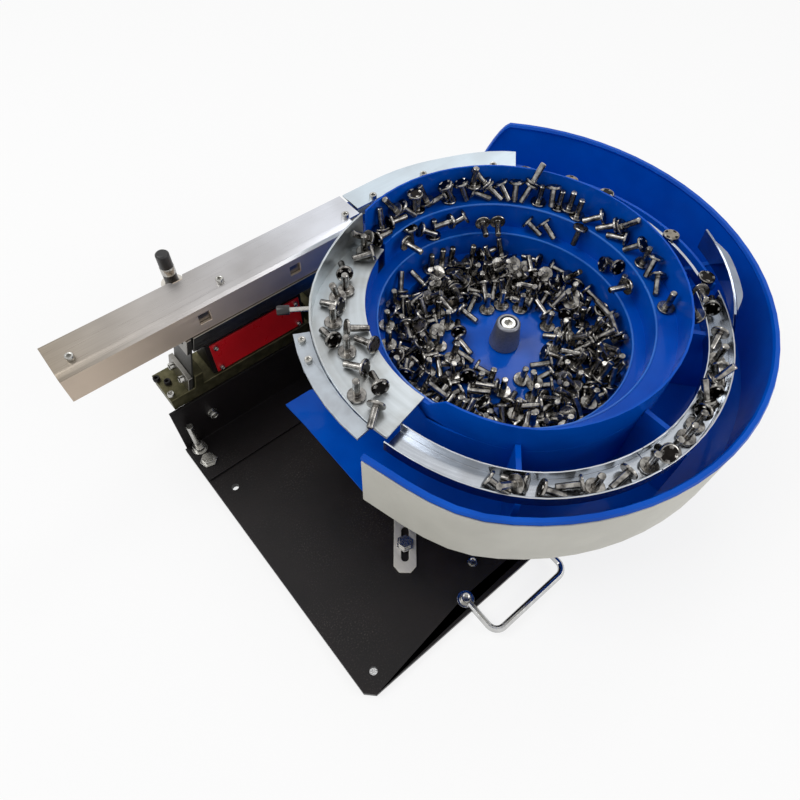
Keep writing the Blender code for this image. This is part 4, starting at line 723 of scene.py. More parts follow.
def shaded_mesh(tool: bmesh.types.BMesh, name: str) -> bpy.types.Mesh:
    """Turn a surface into a mesh that is shaded smooth up to its sharp edges.

    Args:
        tool: The surface, which is used up.
        name: The mesh's name.

    Returns:
        The mesh.
    """
    bmesh.ops.recalc_face_normals(tool, faces=tool.faces)
    for face in tool.faces:
        face.smooth = True
    for edge in tool.edges:
        edge.smooth = edge.calc_face_angle(0) < SHARP_ANGLE
    return plain_mesh(tool, name)


class Sketch:
    """A mesh under construction, in millimetres in the row frame."""

    def __init__(self) -> None:
        """Start with an empty mesh."""
        self.mesh = bmesh.new()

    def loft(self, rings: Sequence[Sequence[Vector]], placed: Matrix | None = None) -> Sketch:
        """Join closed rings of equal count, and cap both ends.

        Args:
            rings: The rings in order; a ring of one point is a tip.
            placed: Where the loft goes; as drawn when left out.

        Returns:
            The sketch.
        """
        matrix = placed or Matrix.Identity(4)
        rows = [[self.mesh.verts.new(matrix @ p) for p in ring] for ring in rings]
        for low, high in zip(rows, rows[1:]):
            count = max(len(low), len(high))
            for i in range(count):
                j = (i + 1) % count
                corners = [low[i % len(low)], low[j % len(low)]]
                corners += [high[j % len(high)], high[i % len(high)]]
                unique = list(dict.fromkeys(corners))
                if len(unique) > 2:
                    self.mesh.faces.new(unique)
        for row, flip in ((rows[0], True), (rows[-1], False)):
            if len(row) > 2:
                self.mesh.faces.new(reversed(row) if flip else row)
        return self

    def sweep(self, rows: Iterable[tuple[float, Iterable[Span]]]) -> Sketch:
        """Loft sections around the bowl's axis.

        Args:
            rows: Each section's azimuth, and its points' radii and heights.

        Returns:
            The sketch.
        """
        return self.loft(
            [[Vector((*around(azimuth, r), z)) for r, z in section] for azimuth, section in rows]
        )

    def lathe(
        self,
        profile: Iterable[Span],
        placed: Matrix | None = None,
        segments: int = SCREW_SIDES,
        shape: Callable[[int, int], Span] | None = None,
    ) -> Sketch:
        """Turn a profile about its own z axis.

        Args:
            profile: Radius and height of each ring, from one end to the other.
            placed: Where the turned body goes; as drawn when left out.
            segments: Points in each ring.
            shape: Gives the factor on the radius and the drop of a ring's point.

        Returns:
            The sketch.
        """
        rings = []
        for number, (radius, height) in enumerate(profile):
            if radius <= 0:
                rings.append([Vector((0, 0, height))])
                continue
            ring = []
            for i in range(segments):
                angle = FULL_TURN * i / segments
                factor, drop = shape(number, i) if shape else (1.0, 0.0)
                reach = radius * factor
                ring.append(
                    Vector((reach * math.cos(angle), reach * math.sin(angle), height - drop))
                )
            rings.append(ring)
        return self.loft(rings, placed)

    def cap_screw(self, size: float, placed: Matrix, washer: bool) -> None:
        """A socket cap screw's head, seated on the plane z = 0 of its place.

        Args:
            size: The thread's diameter.
            placed: The seat, with z out of it.
            washer: Whether a washer lies under the head.
        """
        base = 0.0
        if washer:
            bore, reach, thick = size * 0.5, size * 1.05, size * 0.2
            self.lathe(
                [(bore, 0), (reach, 0), (reach + 0.15, 0.15), (reach, thick), (bore, thick)],
                placed,
                28,
            )
            base = thick + 0.05
        head, flats = size * 0.85, size * 0.42

        def hexagon(ring: int, point: int) -> Span:
            """The socket's two rings follow a hexagon, the rest a circle.

            Args:
                ring: Number of the profile's ring.
                point: Number of the ring's point.

            Returns:
                The factor on the radius and the drop.
            """
            angle = FULL_TURN * point / SCREW_SIDES
            turned = (angle % (2 * HEX_CORNER)) - HEX_CORNER
            return (1 / math.cos(turned) if ring in (6, 7) else 1.0), 0.0

        profile = [
            (head - 0.25, base),
            (head, base + 0.25),
            (head, base + size * 0.85),
            (head - size * 0.07, base + size),
            (flats * 1.35, base + size),
            (flats * 1.22, base + size * 0.97),
            (flats, base + size * 0.93),
            (flats, base + size * 0.45),
            (0, base + size * 0.38),
        ]
        self.lathe(profile, placed, shape=hexagon)


@dataclass
class Workshop:
    """Turns sketches and CAD solids into finished pieces on their bodies."""

    frame: dict

    def publish(
        self,
        mesh: bpy.types.Mesh,
        name: str,
        coating: Finish,
        body: str | None,
        bevel: float = 0.0,
    ) -> bpy.types.Object:
        """Make a shown object of a mesh that is in metres in the row frame.

        Args:
            mesh: The finished mesh.
            name: The piece's name.
            coating: Its finish.
            body: The CAD body it rides on, or None for a piece on no body.
            bevel: Width of the rounded edges, in millimetres.

        Returns:
            The object.
        """
        made = add_object(name, mesh)
        mesh.materials.clear()
        mesh.materials.append(coating.material())
        if bevel > 0:
            edge = made.modifiers.new("rounded_edges", "BEVEL")
            edge.width = bevel * MM
            edge.segments = BEVEL_STEPS
            edge.limit_method = "ANGLE"
            edge.angle_limit = BEVEL_ANGLE
            edge.use_clamp_overlap = True
            edge.miter_outer = "MITER_ARC"
            shade = made.modifiers.new("even_shading", "WEIGHTED_NORMAL")
            shade.keep_sharp = True
        if body is not None:
            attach(made, body)
        LOG.info("piece %s: %d faces on %s", name, len(mesh.polygons), body)
        return made

    def cast(
        self, sketch: Sketch, name: str, coating: Finish, body: str, bevel: float = 0.0
    ) -> None:
        """Make a piece of a sketch.

        Args:
            sketch: The sketch, which is used up.
            name: The piece's name.
            coating: Its finish.
            body: The CAD body it rides on.
            bevel: Width of the rounded edges, in millimetres.
        """
        mesh = shaded_mesh(sketch.mesh, name)
        mesh.transform(Matrix.Scale(MM, 4))
        self.publish(mesh, name, coating, body, bevel)

    def screws(
        self,
        name: str,
        seats: Iterable[tuple[float, Matrix]],
        body: str,
        coating: Finish = SCREW,
        washer: bool = False,
    ) -> None:
        """Make one piece of the heads of several screws.

        Args:
            name: The piece's name.
            seats: Each screw's thread diameter and seat.
            body: The CAD body they ride on.
            coating: Their finish.
            washer: Whether a washer lies under each head.
        """
        sketch = Sketch()
        for size, place in seats:
            sketch.cap_screw(size, place, washer)
        self.cast(sketch, name, coating, body)

    def solid(self, node: str) -> bmesh.types.BMesh:
        """A CAD node's surface with its triangles joined to whole faces.

        Args:
            node: The CAD node.

        Returns:
            The surface, in metres.
        """
        source = self.frame["nodes"][node].data
        clean = bpy.data.meshes.new("clean")
        clean.from_pydata(
            [v.co[:] for v in source.vertices], [], [p.vertices[:] for p in source.polygons]
        )
        tool = bmesh.new()
        tool.from_mesh(clean)
        bpy.data.meshes.remove(clean)
        bmesh.ops.remove_doubles(tool, verts=tool.verts, dist=WELD)
        bmesh.ops.dissolve_limit(
            tool, angle_limit=FLAT_ANGLE, verts=tool.verts, edges=tool.edges
        )
        return tool

    def refine(
        self, node: str, coating: Finish, bevel: float, rides: bool = True
    ) -> bpy.types.Object:
        """Show a CAD node as a copy of it with rounded edges.

        Args:
            node: The CAD node.
            coating: Its finish.
            bevel: Width of the rounded edges, in millimetres.
            rides: Whether it moves as one with the node's body.

        Returns:
            The piece that stands for the node.
        """
        mesh = shaded_mesh(self.solid(node), node + "_finished")
        body = self.frame["nodes"][node]["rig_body"] if rides else None
        made = self.publish(mesh, node + "_finished", coating, body, bevel)
        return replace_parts(made, node)

    def refine_all(self, plan: dict[str, tuple[Finish, float]]) -> None:
        """Refine each node of a plan with its coating and bevel width."""
        for node, (coating, bevel) in plan.items():
            self.refine(node, coating, bevel)

    def leaf_spring(
        self, node: str, bodies: tuple[str, str], low: float, high: float, joints: int = 8
    ) -> None:
        """Show a leaf spring, cut into rows of faces between its two clamps.

        Args:
            node: The CAD node.
            bodies: What it is clamped to below and above; not used.
            low: Height of the lower clamp's top, in millimetres.
            high: Height of the upper clamp's underside.
            joints: Number of rows of faces between the clamps.
        """
        made = self.refine(node, LAMINATE, 0.2, rides=False)
        tool = bmesh.new()
        tool.from_mesh(made.data)
        for i in range(joints + 1):
            height = (low + (high - low) * i / joints) * MM
            bmesh.ops.bisect_plane(
                tool,
                geom=[*tool.verts, *tool.edges, *tool.faces],
                plane_co=(0, 0, height),
                plane_no=(0, 0, 1),
            )
        tool.to_mesh(made.data)
        tool.free()
        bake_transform(made)

    def dress(self, node: str, coating: Finish) -> None:
        """Give a CAD node that stays as it is its finish.

        Args:
            node: The CAD node.
            coating: Its finish.
        """
        item = self.frame["nodes"][node]
        item.data.materials.clear()
        item.data.materials.append(coating.material())


@dataclass
class Assembly:
    """A part of the machine whose pieces are finished in one workshop."""

    shop: Workshop

    def build(self) -> None:
        """Refine the CAD solids and add what is too small for the CAD model."""
        raise NotImplementedError


@dataclass
class BaseAssembly(Assembly):
    """The base plate, its handle and straps, and the linear feeder's stand."""

    plate_top: float = 8.0
    handle_feet: tuple[Point, ...] = ((-191, -162, 12.3), (-86, -162, 12.3))
    wall_face: float = 179.0
    wall_screws: Span = (-282.7, -135.0)
    wall_screw_height: float = 50.0
    plate_screw: Span = (-157.0, -137.0)

    def build(self) -> None:
        """Refine the solids; add screws at the handle's eyes, wall and plate."""
        plan = {
            "base_plate": (BLACK, 0.7),
            "linear_stand": (BLACK, 0.6),
            "carry_handle": (CHROME, 0.3),
        }
        for number in (1, 2, 3):
            plan[f"foot_strap_{number}"] = (STRAP, 0.3)
            plan[f"strap_bolt_{number}"] = (SCREW, 0.3)
            plan[f"rubber_foot_{number}"] = (RUBBER, 0.5)
        for number in (1, 2):
            plan[f"stand_bolt_{number}"] = (SCREW, 0.3)
            plan[f"stand_stud_{number}"] = (SCREW, 0.25)
        self.shop.refine_all(plan)
        wall = (self.wall_face, self.wall_screw_height, (0, -1, 0))
        seats = [(6, seat(*foot)) for foot in self.handle_feet]
        seats += [(6, seat(x, *wall)) for x in self.wall_screws]
        seats.append((5, seat(*self.plate_screw, self.plate_top)))
        self.shop.screws("base_screws", seats, "frame", washer=True)


@dataclass
class BowlDrive(Assembly):
    """The vibrating drive under the bowl."""

    free_spring: Span = (59.6, 80.4)

    def build(self) -> None:
        """Refine the plates and springs, and dress what is hidden."""
        self.shop.refine_all(
            {
                "drive_base": (BLACK, 0.8),
                "drive_top_plate": (GROUND, 0.6),
                "bowl_hub": (GROUND, 0.5),
            }
        )
        for number in (1, 2, 3, 4):
            self.shop.leaf_spring(
                f"bowl_leaf_spring_{number}", ("drive_top", "bowl"), *self.free_spring
            )
        self.shop.dress("drive_magnet", WINDING)
        self.shop.dress("drive_armature", GROUND)


@dataclass(frozen=True)
class Spiral:
    """Inner edge of the bowl's turns; a turn further down is 360 less."""

    start: float = -525.0
    first_radius: float = 128.0
    widening: float = 0.038
    lowest: float = 127.0
    pitch: float = 30.0
    lead: float = 276.0

    def inner(self, azimuth: float) -> float:
        """Radius of the edge at an azimuth in degrees."""
        return self.first_radius + self.widening * (azimuth - self.start)

    def height(self, azimuth: float) -> float:
        """Height of the sheet's middle there."""
        return self.lowest + self.pitch * (azimuth - self.start + self.lead) / 360


SPIRAL = Spiral()


@dataclass
class Bowl(Assembly):
    """The stepped spiral bowl, its skirt and the clamping nut."""

    lip_span: tuple[int, int] = (-515, 108)
    lip_step: int = 3
    lip_radius: float = 1.3
    lip_inset: float = 0.3
    lip_rise: float = 0.6
    lip_sides: int = 8

    def build(self) -> None:
        """Refine the painted sheet and the nut, and roll the turns' lips."""
        self.shop.refine_all(
            {
                "bowl_shell": (BLUE, 0.7),
                "bowl_skirt": (BLUE, 0.5),
                "cone_nut": (BLACKENED, 0.5),
                "cone_screw": (SCREW, 0.3),
            }
        )
        self.lips()

    def lips(self) -> None:
        """The round lips along the turns, which catch a thin line of light; their pale coat adds a
        painted highlight.
        """
        start, end = self.lip_span
        angles = [FULL_TURN * i / self.lip_sides for i in range(self.lip_sides)]
        circle = [(self.lip_radius * math.cos(a), self.lip_radius * math.sin(a)) for a in angles]
        rows = []
        for azimuth in range(start, end + 1, self.lip_step):
            radius = SPIRAL.inner(azimuth) - self.lip_inset
            height = SPIRAL.height(azimuth) + self.lip_rise
            rows.append((azimuth, [(radius + out, height + up) for out, up in circle]))
        self.shop.cast(Sketch().sweep(rows), "turn_lips", LIP_WEAR_AND_HIGHLIGHT, "bowl")


@dataclass
class ReturnPan(Assembly):
    """The outer pan that brings fallen studs back, and its cream outside."""

    def build(self) -> None:
        """Refine the pan and its skin."""
        self.shop.refine_all({"return_pan": (BLUE, 0.8), "pan_skin": (CREAM, 0.6)})


@dataclass
class Selector(Assembly):
    """The satin tray where studs are sorted, its guide and air nozzle."""

    guide_screws: Span = (156.0, 162.5)
    guide_radius: float = 217.5
    guide_top: float = 201.0
    nozzle_azimuth: float = 146.0
    nozzle_end: Span = (225.5, 238.0)
    nozzle_height: float = 205.5

    def build(self) -> None:
        """Refine the tray; add the guide's screws and the nozzle's fitting."""
        self.shop.refine_all(
            {
                "selector_tray": (TRAY, 0.35),
                "tray_guide": (FROSTED, 0.4),
                "air_nozzle": (SCREW, 0.3),
            }
        )
        seats = [
            (4.5, seat(*around(azimuth, self.guide_radius), self.guide_top))
            for azimuth in self.guide_screws
        ]
        self.shop.screws("guide_screws", seats, "bowl")
        start, end = self.nozzle_end
        long = end - start
        out = (*around(self.nozzle_azimuth, 1.0), 0.0)
        fitting = Sketch().lathe(
            [(2.6, 0), (4.6, 0.2), (4.9, 0.8), (4.9, long - 0.8), (4.4, long), (0, long)],
            seat(*around(self.nozzle_azimuth, start), self.nozzle_height, out),
        )
        self.shop.cast(fitting, "nozzle_fitting", SENSOR, "bowl")


@dataclass
class Trough(Assembly):
    """Channels and rails that carry the studs round to the track."""

    cover_screws: tuple[float, ...] = (52.0, 76.0, 95.6)
    cover_top: float = 208.3
    rail_centre: float = 2.0
    rail_radius: float = 212.0
    screw_inset: float = 9.0
    deflector_span: Span = (-47.0, -16.0)
    deflector_rim: Span = (213.9, 237.1)
    deflector_foot: Span = (224.25, 239.25)
    deflector_heights: Span = (214.0, 191.0)
    backing_span: Span = (-45.0, -20.0)
    backing_shares: Span = (0.06, 0.62)
    backing_steps: int = 16

    def cover_radius(self, azimuth: float) -> float:
        """Radius of the slot's middle line about the bowl's axis.

        Args:
            azimuth: Where along the slot, in degrees.

        Returns:
            The radius in millimetres.
        """
        angle = math.radians(azimuth)
        if azimuth > 90:
            return (self.rail_radius + self.rail_centre) / math.sin(angle)
        along = self.rail_centre * math.cos(angle)
        return self.rail_centre * math.sin(angle) + math.sqrt(self.rail_radius**2 - along**2)

    def build(self) -> None:
        """Refine the steel, screw the cover down and back the deflector."""
        self.shop.refine_all(
            {
                "trough_channel_1": (RING, 0.3),
                "trough_channel_2": (RING, 0.3),
                "hanging_rail_inner": (RING, 0.5),
                "hanging_rail_outer": (PAINTED_RAIL, 0.5),
                "rail_cover": (SHEET_PAINTED_WINDOW_LIGHT, 0.4),
                "deflector": (MIRROR, 0.4),
            }
        )
        seats = []
        for azimuth in self.cover_screws:
            x, y = around(azimuth, self.cover_radius(azimuth) - self.screw_inset)
            seats.append((5, seat(x, y, self.cover_top)))
        self.shop.screws("rail_cover_screws", seats, "bowl")
        self.backing()

    def backing(self) -> None:
        """The strip that stiffens the deflector along its back."""
        first, last = self.deflector_span
        start, end = self.backing_span
        upper, lower = self.backing_shares
        rows = []
        for i in range(self.backing_steps + 1):
            azimuth = start + (end - start) * i / self.backing_steps
            t = (azimuth - first) / (last - first)
            rim, foot = (
                near * (1 - t) + far * t for near, far in (self.deflector_rim, self.deflector_foot)
            )
            top, low = self.deflector_heights
            reach = 2.2 + 6.8 * min(1.0, 1.6 * math.sin(math.pi * i / self.backing_steps))
            section = [
                (rim * (1 - share) + foot * share + out, top * (1 - share) + low * share)
                for out, share in ((1.6, upper), (reach, upper), (reach, lower), (1.6, lower))
            ]
            rows.append((azimuth, section))
        self.shop.cast(Sketch().sweep(rows), "deflector_backing", MIRROR, "bowl", 0.8)


@dataclass
class LinearDrive(Assembly):
    """The linear vibrator: base, leaf springs, housing and red covers."""

    tilt: float = math.radians(14)
    base_top: float = 101.6
    spring_feet: Span = (-290.0, -126.0)
    clamp_face: float = 6.3
    clamp_rows: Span = (192.5, 215.0)
    clamp_heights: Span = (110.1, 163.0)
    free_spring: Span = (118.6, 154.0)
    cover_x: Span = (-252.5, -150.5)
    cover_z: Span = (108.5, 141.5)
    cover_front: float = 183.6
    cover_rear: float = 223.9
    zinc_screws: tuple[Span, ...] = ((-313.7, 188.2),)
    dark_screws: tuple[Span, ...] = ((-316.0, 217.0), (-308.6, 205.8))

    def build(self) -> None:
        """Refine the solids, and add screws to covers, clamps and base."""
        plan = {
            "linear_base_block": (BLACK, 0.5),
            "linear_base": (ZINC, 0.5),
            "linear_housing": (BLACK, 0.8),
            "side_cover_front": (RED, 0.35),
            "side_cover_rear": (RED, 0.35),
            "linear_top_bar": (GROUND, 0.5),
        }
        for side in ("left", "right"):
            self.shop.leaf_spring(
                f"linear_leaf_spring_{side}", ("frame", "linear_top"), *self.free_spring
            )
            plan[f"leaf_clamp_lower_{side}"] = (GROUND, 0.4)
            plan[f"leaf_clamp_upper_{side}"] = (GROUND, 0.4)
        self.shop.refine_all(plan)
        self.shop.dress("linear_coil", WINDING)
        self.shop.dress("linear_armature", GROUND)
        seats = [
            (3.2, seat(x, face, z, (0, way, 0)))
            for x in self.cover_x
            for z in self.cover_z
            for face, way in ((self.cover_front, -1), (self.cover_rear, 1))
        ]
        self.shop.screws("side_cover_screws", seats, "frame")
        self.clamp_fasteners()
        for name, places, coating in (
            ("zinc_base_screws", self.zinc_screws, SCREW),
            ("zinc_base_set_screws", self.dark_screws, BLACK),
        ):
            seats = [(4.5, seat(x, y, self.base_top)) for x, y in places]
            self.shop.screws(name, seats, "frame", coating)

    def clamp_fasteners(self) -> None:
        """Screws through the clamps, square to the tilted springs."""
        low, high = self.clamp_heights
        axis = Vector((math.cos(self.tilt), 0, -math.sin(self.tilt)))
        for name, height, body, inward in (
            ("lower_clamp_screws", low, "frame", 1),
            ("upper_clamp_screws", high, "linear_top", -1),
        ):
            seats = []
            for foot, way in zip(self.spring_feet, (-inward, inward)):
                middle = foot + (height - self.base_top) * math.tan(self.tilt)
                for y in self.clamp_rows:
                    at = Vector((middle, y, height)) + axis * way * self.clamp_face
                    seats.append((5, seat(*at, tuple(axis * way))))
            self.shop.screws(name, seats, body)


@dataclass
class DischargeTrack(Assembly):
    """The straight track with its bent cover and the sensor."""

    cover_screws: tuple[float, ...] = (-377.0, -221.0, -64.0)
    screw_line: float = 198.5
    cover_top: float = 208.3
    sensor: Span = (-254.0, 245.5)
    sensor_radius: float = 7.0
    sensor_band: Span = (205.0, 214.0)
    ends: Span = (-396.0, -62.0)
    cover_edge: float = 187.5
    edge_knots: tuple[Span, ...] = ((-396.0, 190.7), (-255.0, 194.1), (-62.0, 194.1))
    plate_face: float = 183.5
    plate_top: float = 206.0
    plate_cut: Span = (2.8, 1.2)
    bend_foot: float = 203.3
    bend_outside: tuple[Span, ...] = ((0.0, 0.05), (0.42, 0.45), (0.78, 1.7))
    bend_inside: tuple[Span, ...] = ((0.7, 2.6), (0.4, 1.5), (0.0, 1.1))
    bend_steps: int = 24

    def edge(self, x: float) -> float:
        """Where the cover's near edge lies; it draws in to the right.

        Args:
            x: Where along the track, in millimetres.

        Returns:
            The edge's y.
        """
        for (x0, y0), (x1, y1) in zip(self.edge_knots, self.edge_knots[1:]):
            if x <= x1:
                return y0 + (y1 - y0) * (x - x0) / (x1 - x0)
        return self.edge_knots[-1][1]

    def bend(self, near: bpy.types.Mesh, cover: bpy.types.Mesh) -> None:
        """Join the cover to the near plate with the rounded edge of its sheet.

        Args:
            near: The near side plate, whose top is cut lower.
            cover: The cover, whose near edge is drawn in.
        """
        slack = 0.3 * MM
        for vertex in cover.vertices:
            if abs(vertex.co.y - self.cover_edge * MM) < slack:
                vertex.co.y = self.edge(vertex.co.x / MM) * MM
        outer_cut, inner_cut = self.plate_cut
        for vertex in near.vertices:
            if vertex.co.z > (self.plate_top - 0.2) * MM:
                outer = vertex.co.y < (self.plate_face + 1) * MM
                vertex.co.z -= (outer_cut if outer else inner_cut) * MM
        left, right = self.ends
        face, foot = self.plate_face, self.bend_foot
        rings = []
        for i in range(self.bend_steps + 1):
            x = left + (right - left) * i / self.bend_steps
            edge = self.edge(x)
            outside, inside = (
                [(edge - share * (edge - face), self.cover_top - drop) for share, drop in rows]
                for rows in (self.bend_outside, self.bend_inside)
            )
            section = [*outside, (face - 0.25, foot), (face + 0.6, foot), *inside]
            rings.append([Vector((x, y, z)) for y, z in section])
        self.shop.cast(Sketch().loft(rings), "track_cover_bend", SHEET, "linear_top", 0.15)

    def build(self) -> None:
        """Refine the track and add screws and the sensor's bright ring."""
        near = self.shop.refine("track_side_plate_near", MILL, 0.3)
        cover = self.shop.refine("track_cover", SHEET, 0.4)
        self.bend(near.data, cover.data)
        self.shop.refine_all(
            {
                "track_body": (GROUND, 0.4),
                "track_side_plate_far": (MILL, 0.3),
                "sensor_bracket": (STRAP, 0.3),
                "track_sensor": (SENSOR, 0.4),
            }
        )
        seats = [(5, seat(x, self.screw_line, self.cover_top)) for x in self.cover_screws]
        self.shop.screws("track_cover_screws", seats, "linear_top")
        low, high = self.sensor_band
        ring = self.sensor_radius + 0.35
        band = Sketch().lathe(
            [(ring - 0.2, low), (ring, low + 0.3), (ring, high - 0.3), (ring - 0.2, high)],
            Matrix.Translation((*self.sensor, 0)),
            32,
        )
        self.shop.cast(band, "sensor_ring", SCREW, "linear_top")


@dataclass
class Stud:
    """One workpiece: a flat round head with four notches on a plain shank."""

    head_radius: float = 9.0
    head_height: float = 3.0
    shank_radius: float = 3.5
    shank_length: float = 21.0
    segments: int = 20
    notches: int = 4
    notch_depth: float = 1.3
    notch_reach: float = 7.7
    NOTCHED_RINGS = (2, 3)
    FACE = 1
    NOTCH = 3

    def mesh(self) -> bpy.types.Mesh:
        """The stud in millimetres, its head's underside at the origin.

        Returns:
            The mesh, with the face and the notches marked by material.
        """
        top, rim, shank = self.head_height, self.head_radius, self.shank_radius
        profile = [
            (0.0, top),
            (5.0, top),
            (5.7, top),
            (7.1, top),
            (7.8, top - 0.1),
            (rim - 0.2, top - 0.5),
            (rim, top - 1.1),
            (rim, 0.6),
            (rim - 0.5, 0.0),
            (shank + 0.4, 0.0),
            (shank, -0.5),
            (shank, 0.8 - self.shank_length),
            (shank - 0.8, -self.shank_length),
        ]

        def notched(ring: int, point: int) -> Span:
            """Every fifth point of two rings of the face lies lower."""
            cut = ring in self.NOTCHED_RINGS and point % (self.segments // self.notches) == 0
            return 1.0, self.notch_depth if cut else 0.0

        sketch = Sketch().lathe(profile, None, self.segments, notched)
        made = shaded_mesh(sketch.mesh, "stud")
        for face in made.polygons:
            inside = face.center.xy.length < self.notch_reach and face.normal.z > 0
            if face.center.z > top - 0.2:
                face.material_index = self.FACE
            elif face.center.z > 0 and inside:
                face.material_index = self.NOTCH
        return made


@dataclass
class Drop:
    """A group of studs that is let fall, and the space it must end in."""

    name: str
    places: list[Matrix]
    reach: float = math.inf
    floor: float = 100.0

    def keeps(self, place: Matrix) -> bool:
        """Whether a stud that came to rest here still belongs to the group."""
        at = place.translation
        return at.z > self.floor and at.xy.length < self.reach


@dataclass
class Simulation:
    """A rigid body world, drawn larger than life so that it stays steady."""

    scale: float = 20.0
    frames: int = 95
    substeps: int = 8
    iterations: int = 16
    gravity: float = 9.81
    friction: float = 0.55
    margin: float = 0.004
    damping: Span = (0.12, 0.35)
    made: list[bpy.types.Object] = field(default_factory=list)

    @property
    def unit(self) -> float:
        """Size of a millimetre in the simulation."""
        return self.scale * MM

    def start(self) -> None:
        """Make the empty world."""
        scene = bpy.context.scene
        bpy.ops.rigidbody.world_add()
        world = scene.rigidbody_world
        world.substeps_per_frame = self.substeps
        world.solver_iterations = self.iterations
        world.point_cache.frame_end = self.frames + 5
        scene.gravity = (0, 0, -self.gravity)

    def add(self, name: str, mesh: bpy.types.Mesh, kind: str, shape: str) -> bpy.types.Object:
        """Add a body.

        Args:
            name: The object's name.
            mesh: Its mesh at the simulation's scale.
            kind: ACTIVE for one that falls, PASSIVE for a fixed one.
            shape: What Bullet takes for its collision shape.

        Returns:
            The object.
        """
        item = add_object(name, mesh)
        bpy.context.view_layer.objects.active = item
        item.select_set(True)
        bpy.ops.rigidbody.object_add(type=kind)
        rigid = item.rigid_body
        rigid.collision_shape = shape
        rigid.friction = self.friction
        rigid.restitution = 0.0
        rigid.use_margin = True
        rigid.collision_margin = self.margin
        rigid.linear_damping, rigid.angular_damping = self.damping
        item.select_set(False)
        self.made.append(item)
        return item

    def prism(self, radius: float, low: float, high: float, sides: int = 10) -> bpy.types.Mesh:
        """A plain prism that stands for a part of a stud.

        Args:
            radius: Radius of its corners, in millimetres.
            low: Height of its lower end.
            high: Height of its upper end.
            sides: Number of its sides.

        Returns:
            The prism's mesh at the simulation's scale.
        """
        unit = self.unit
        corners = []
        for height in (low, high):
            for i in range(sides):
                angle = FULL_TURN * i / sides
                across = (radius * unit * math.cos(angle), radius * unit * math.sin(angle))
                corners.append((*across, height * unit))
        faces = [[i, (i + 1) % sides, sides + (i + 1) % sides, sides + i] for i in range(sides)]
        faces += [list(range(sides))[::-1], list(range(sides, 2 * sides))]
        made = bpy.data.meshes.new("proxy")
        made.from_pydata(corners, [], faces)
        return made

    def place(self, item: bpy.types.Object) -> Matrix:
        """Where an object is, in millimetres.

        Args:
            item: An object of the simulation.

        Returns:
            Its place without the simulation's scale.
        """
        found = item.matrix_world.normalized()
        found.translation = item.matrix_world.translation / self.unit
        return found

    def run(self) -> None:
        """Step through every frame."""
        for frame in range(1, self.frames + 1):
            bpy.context.scene.frame_set(frame)

    def clear(self) -> None:
        """Take the world and everything in it away."""
        bpy.ops.rigidbody.world_remove()
        for item in self.made:
            bpy.data.objects.remove(item)
        bpy.context.scene.frame_set(1)


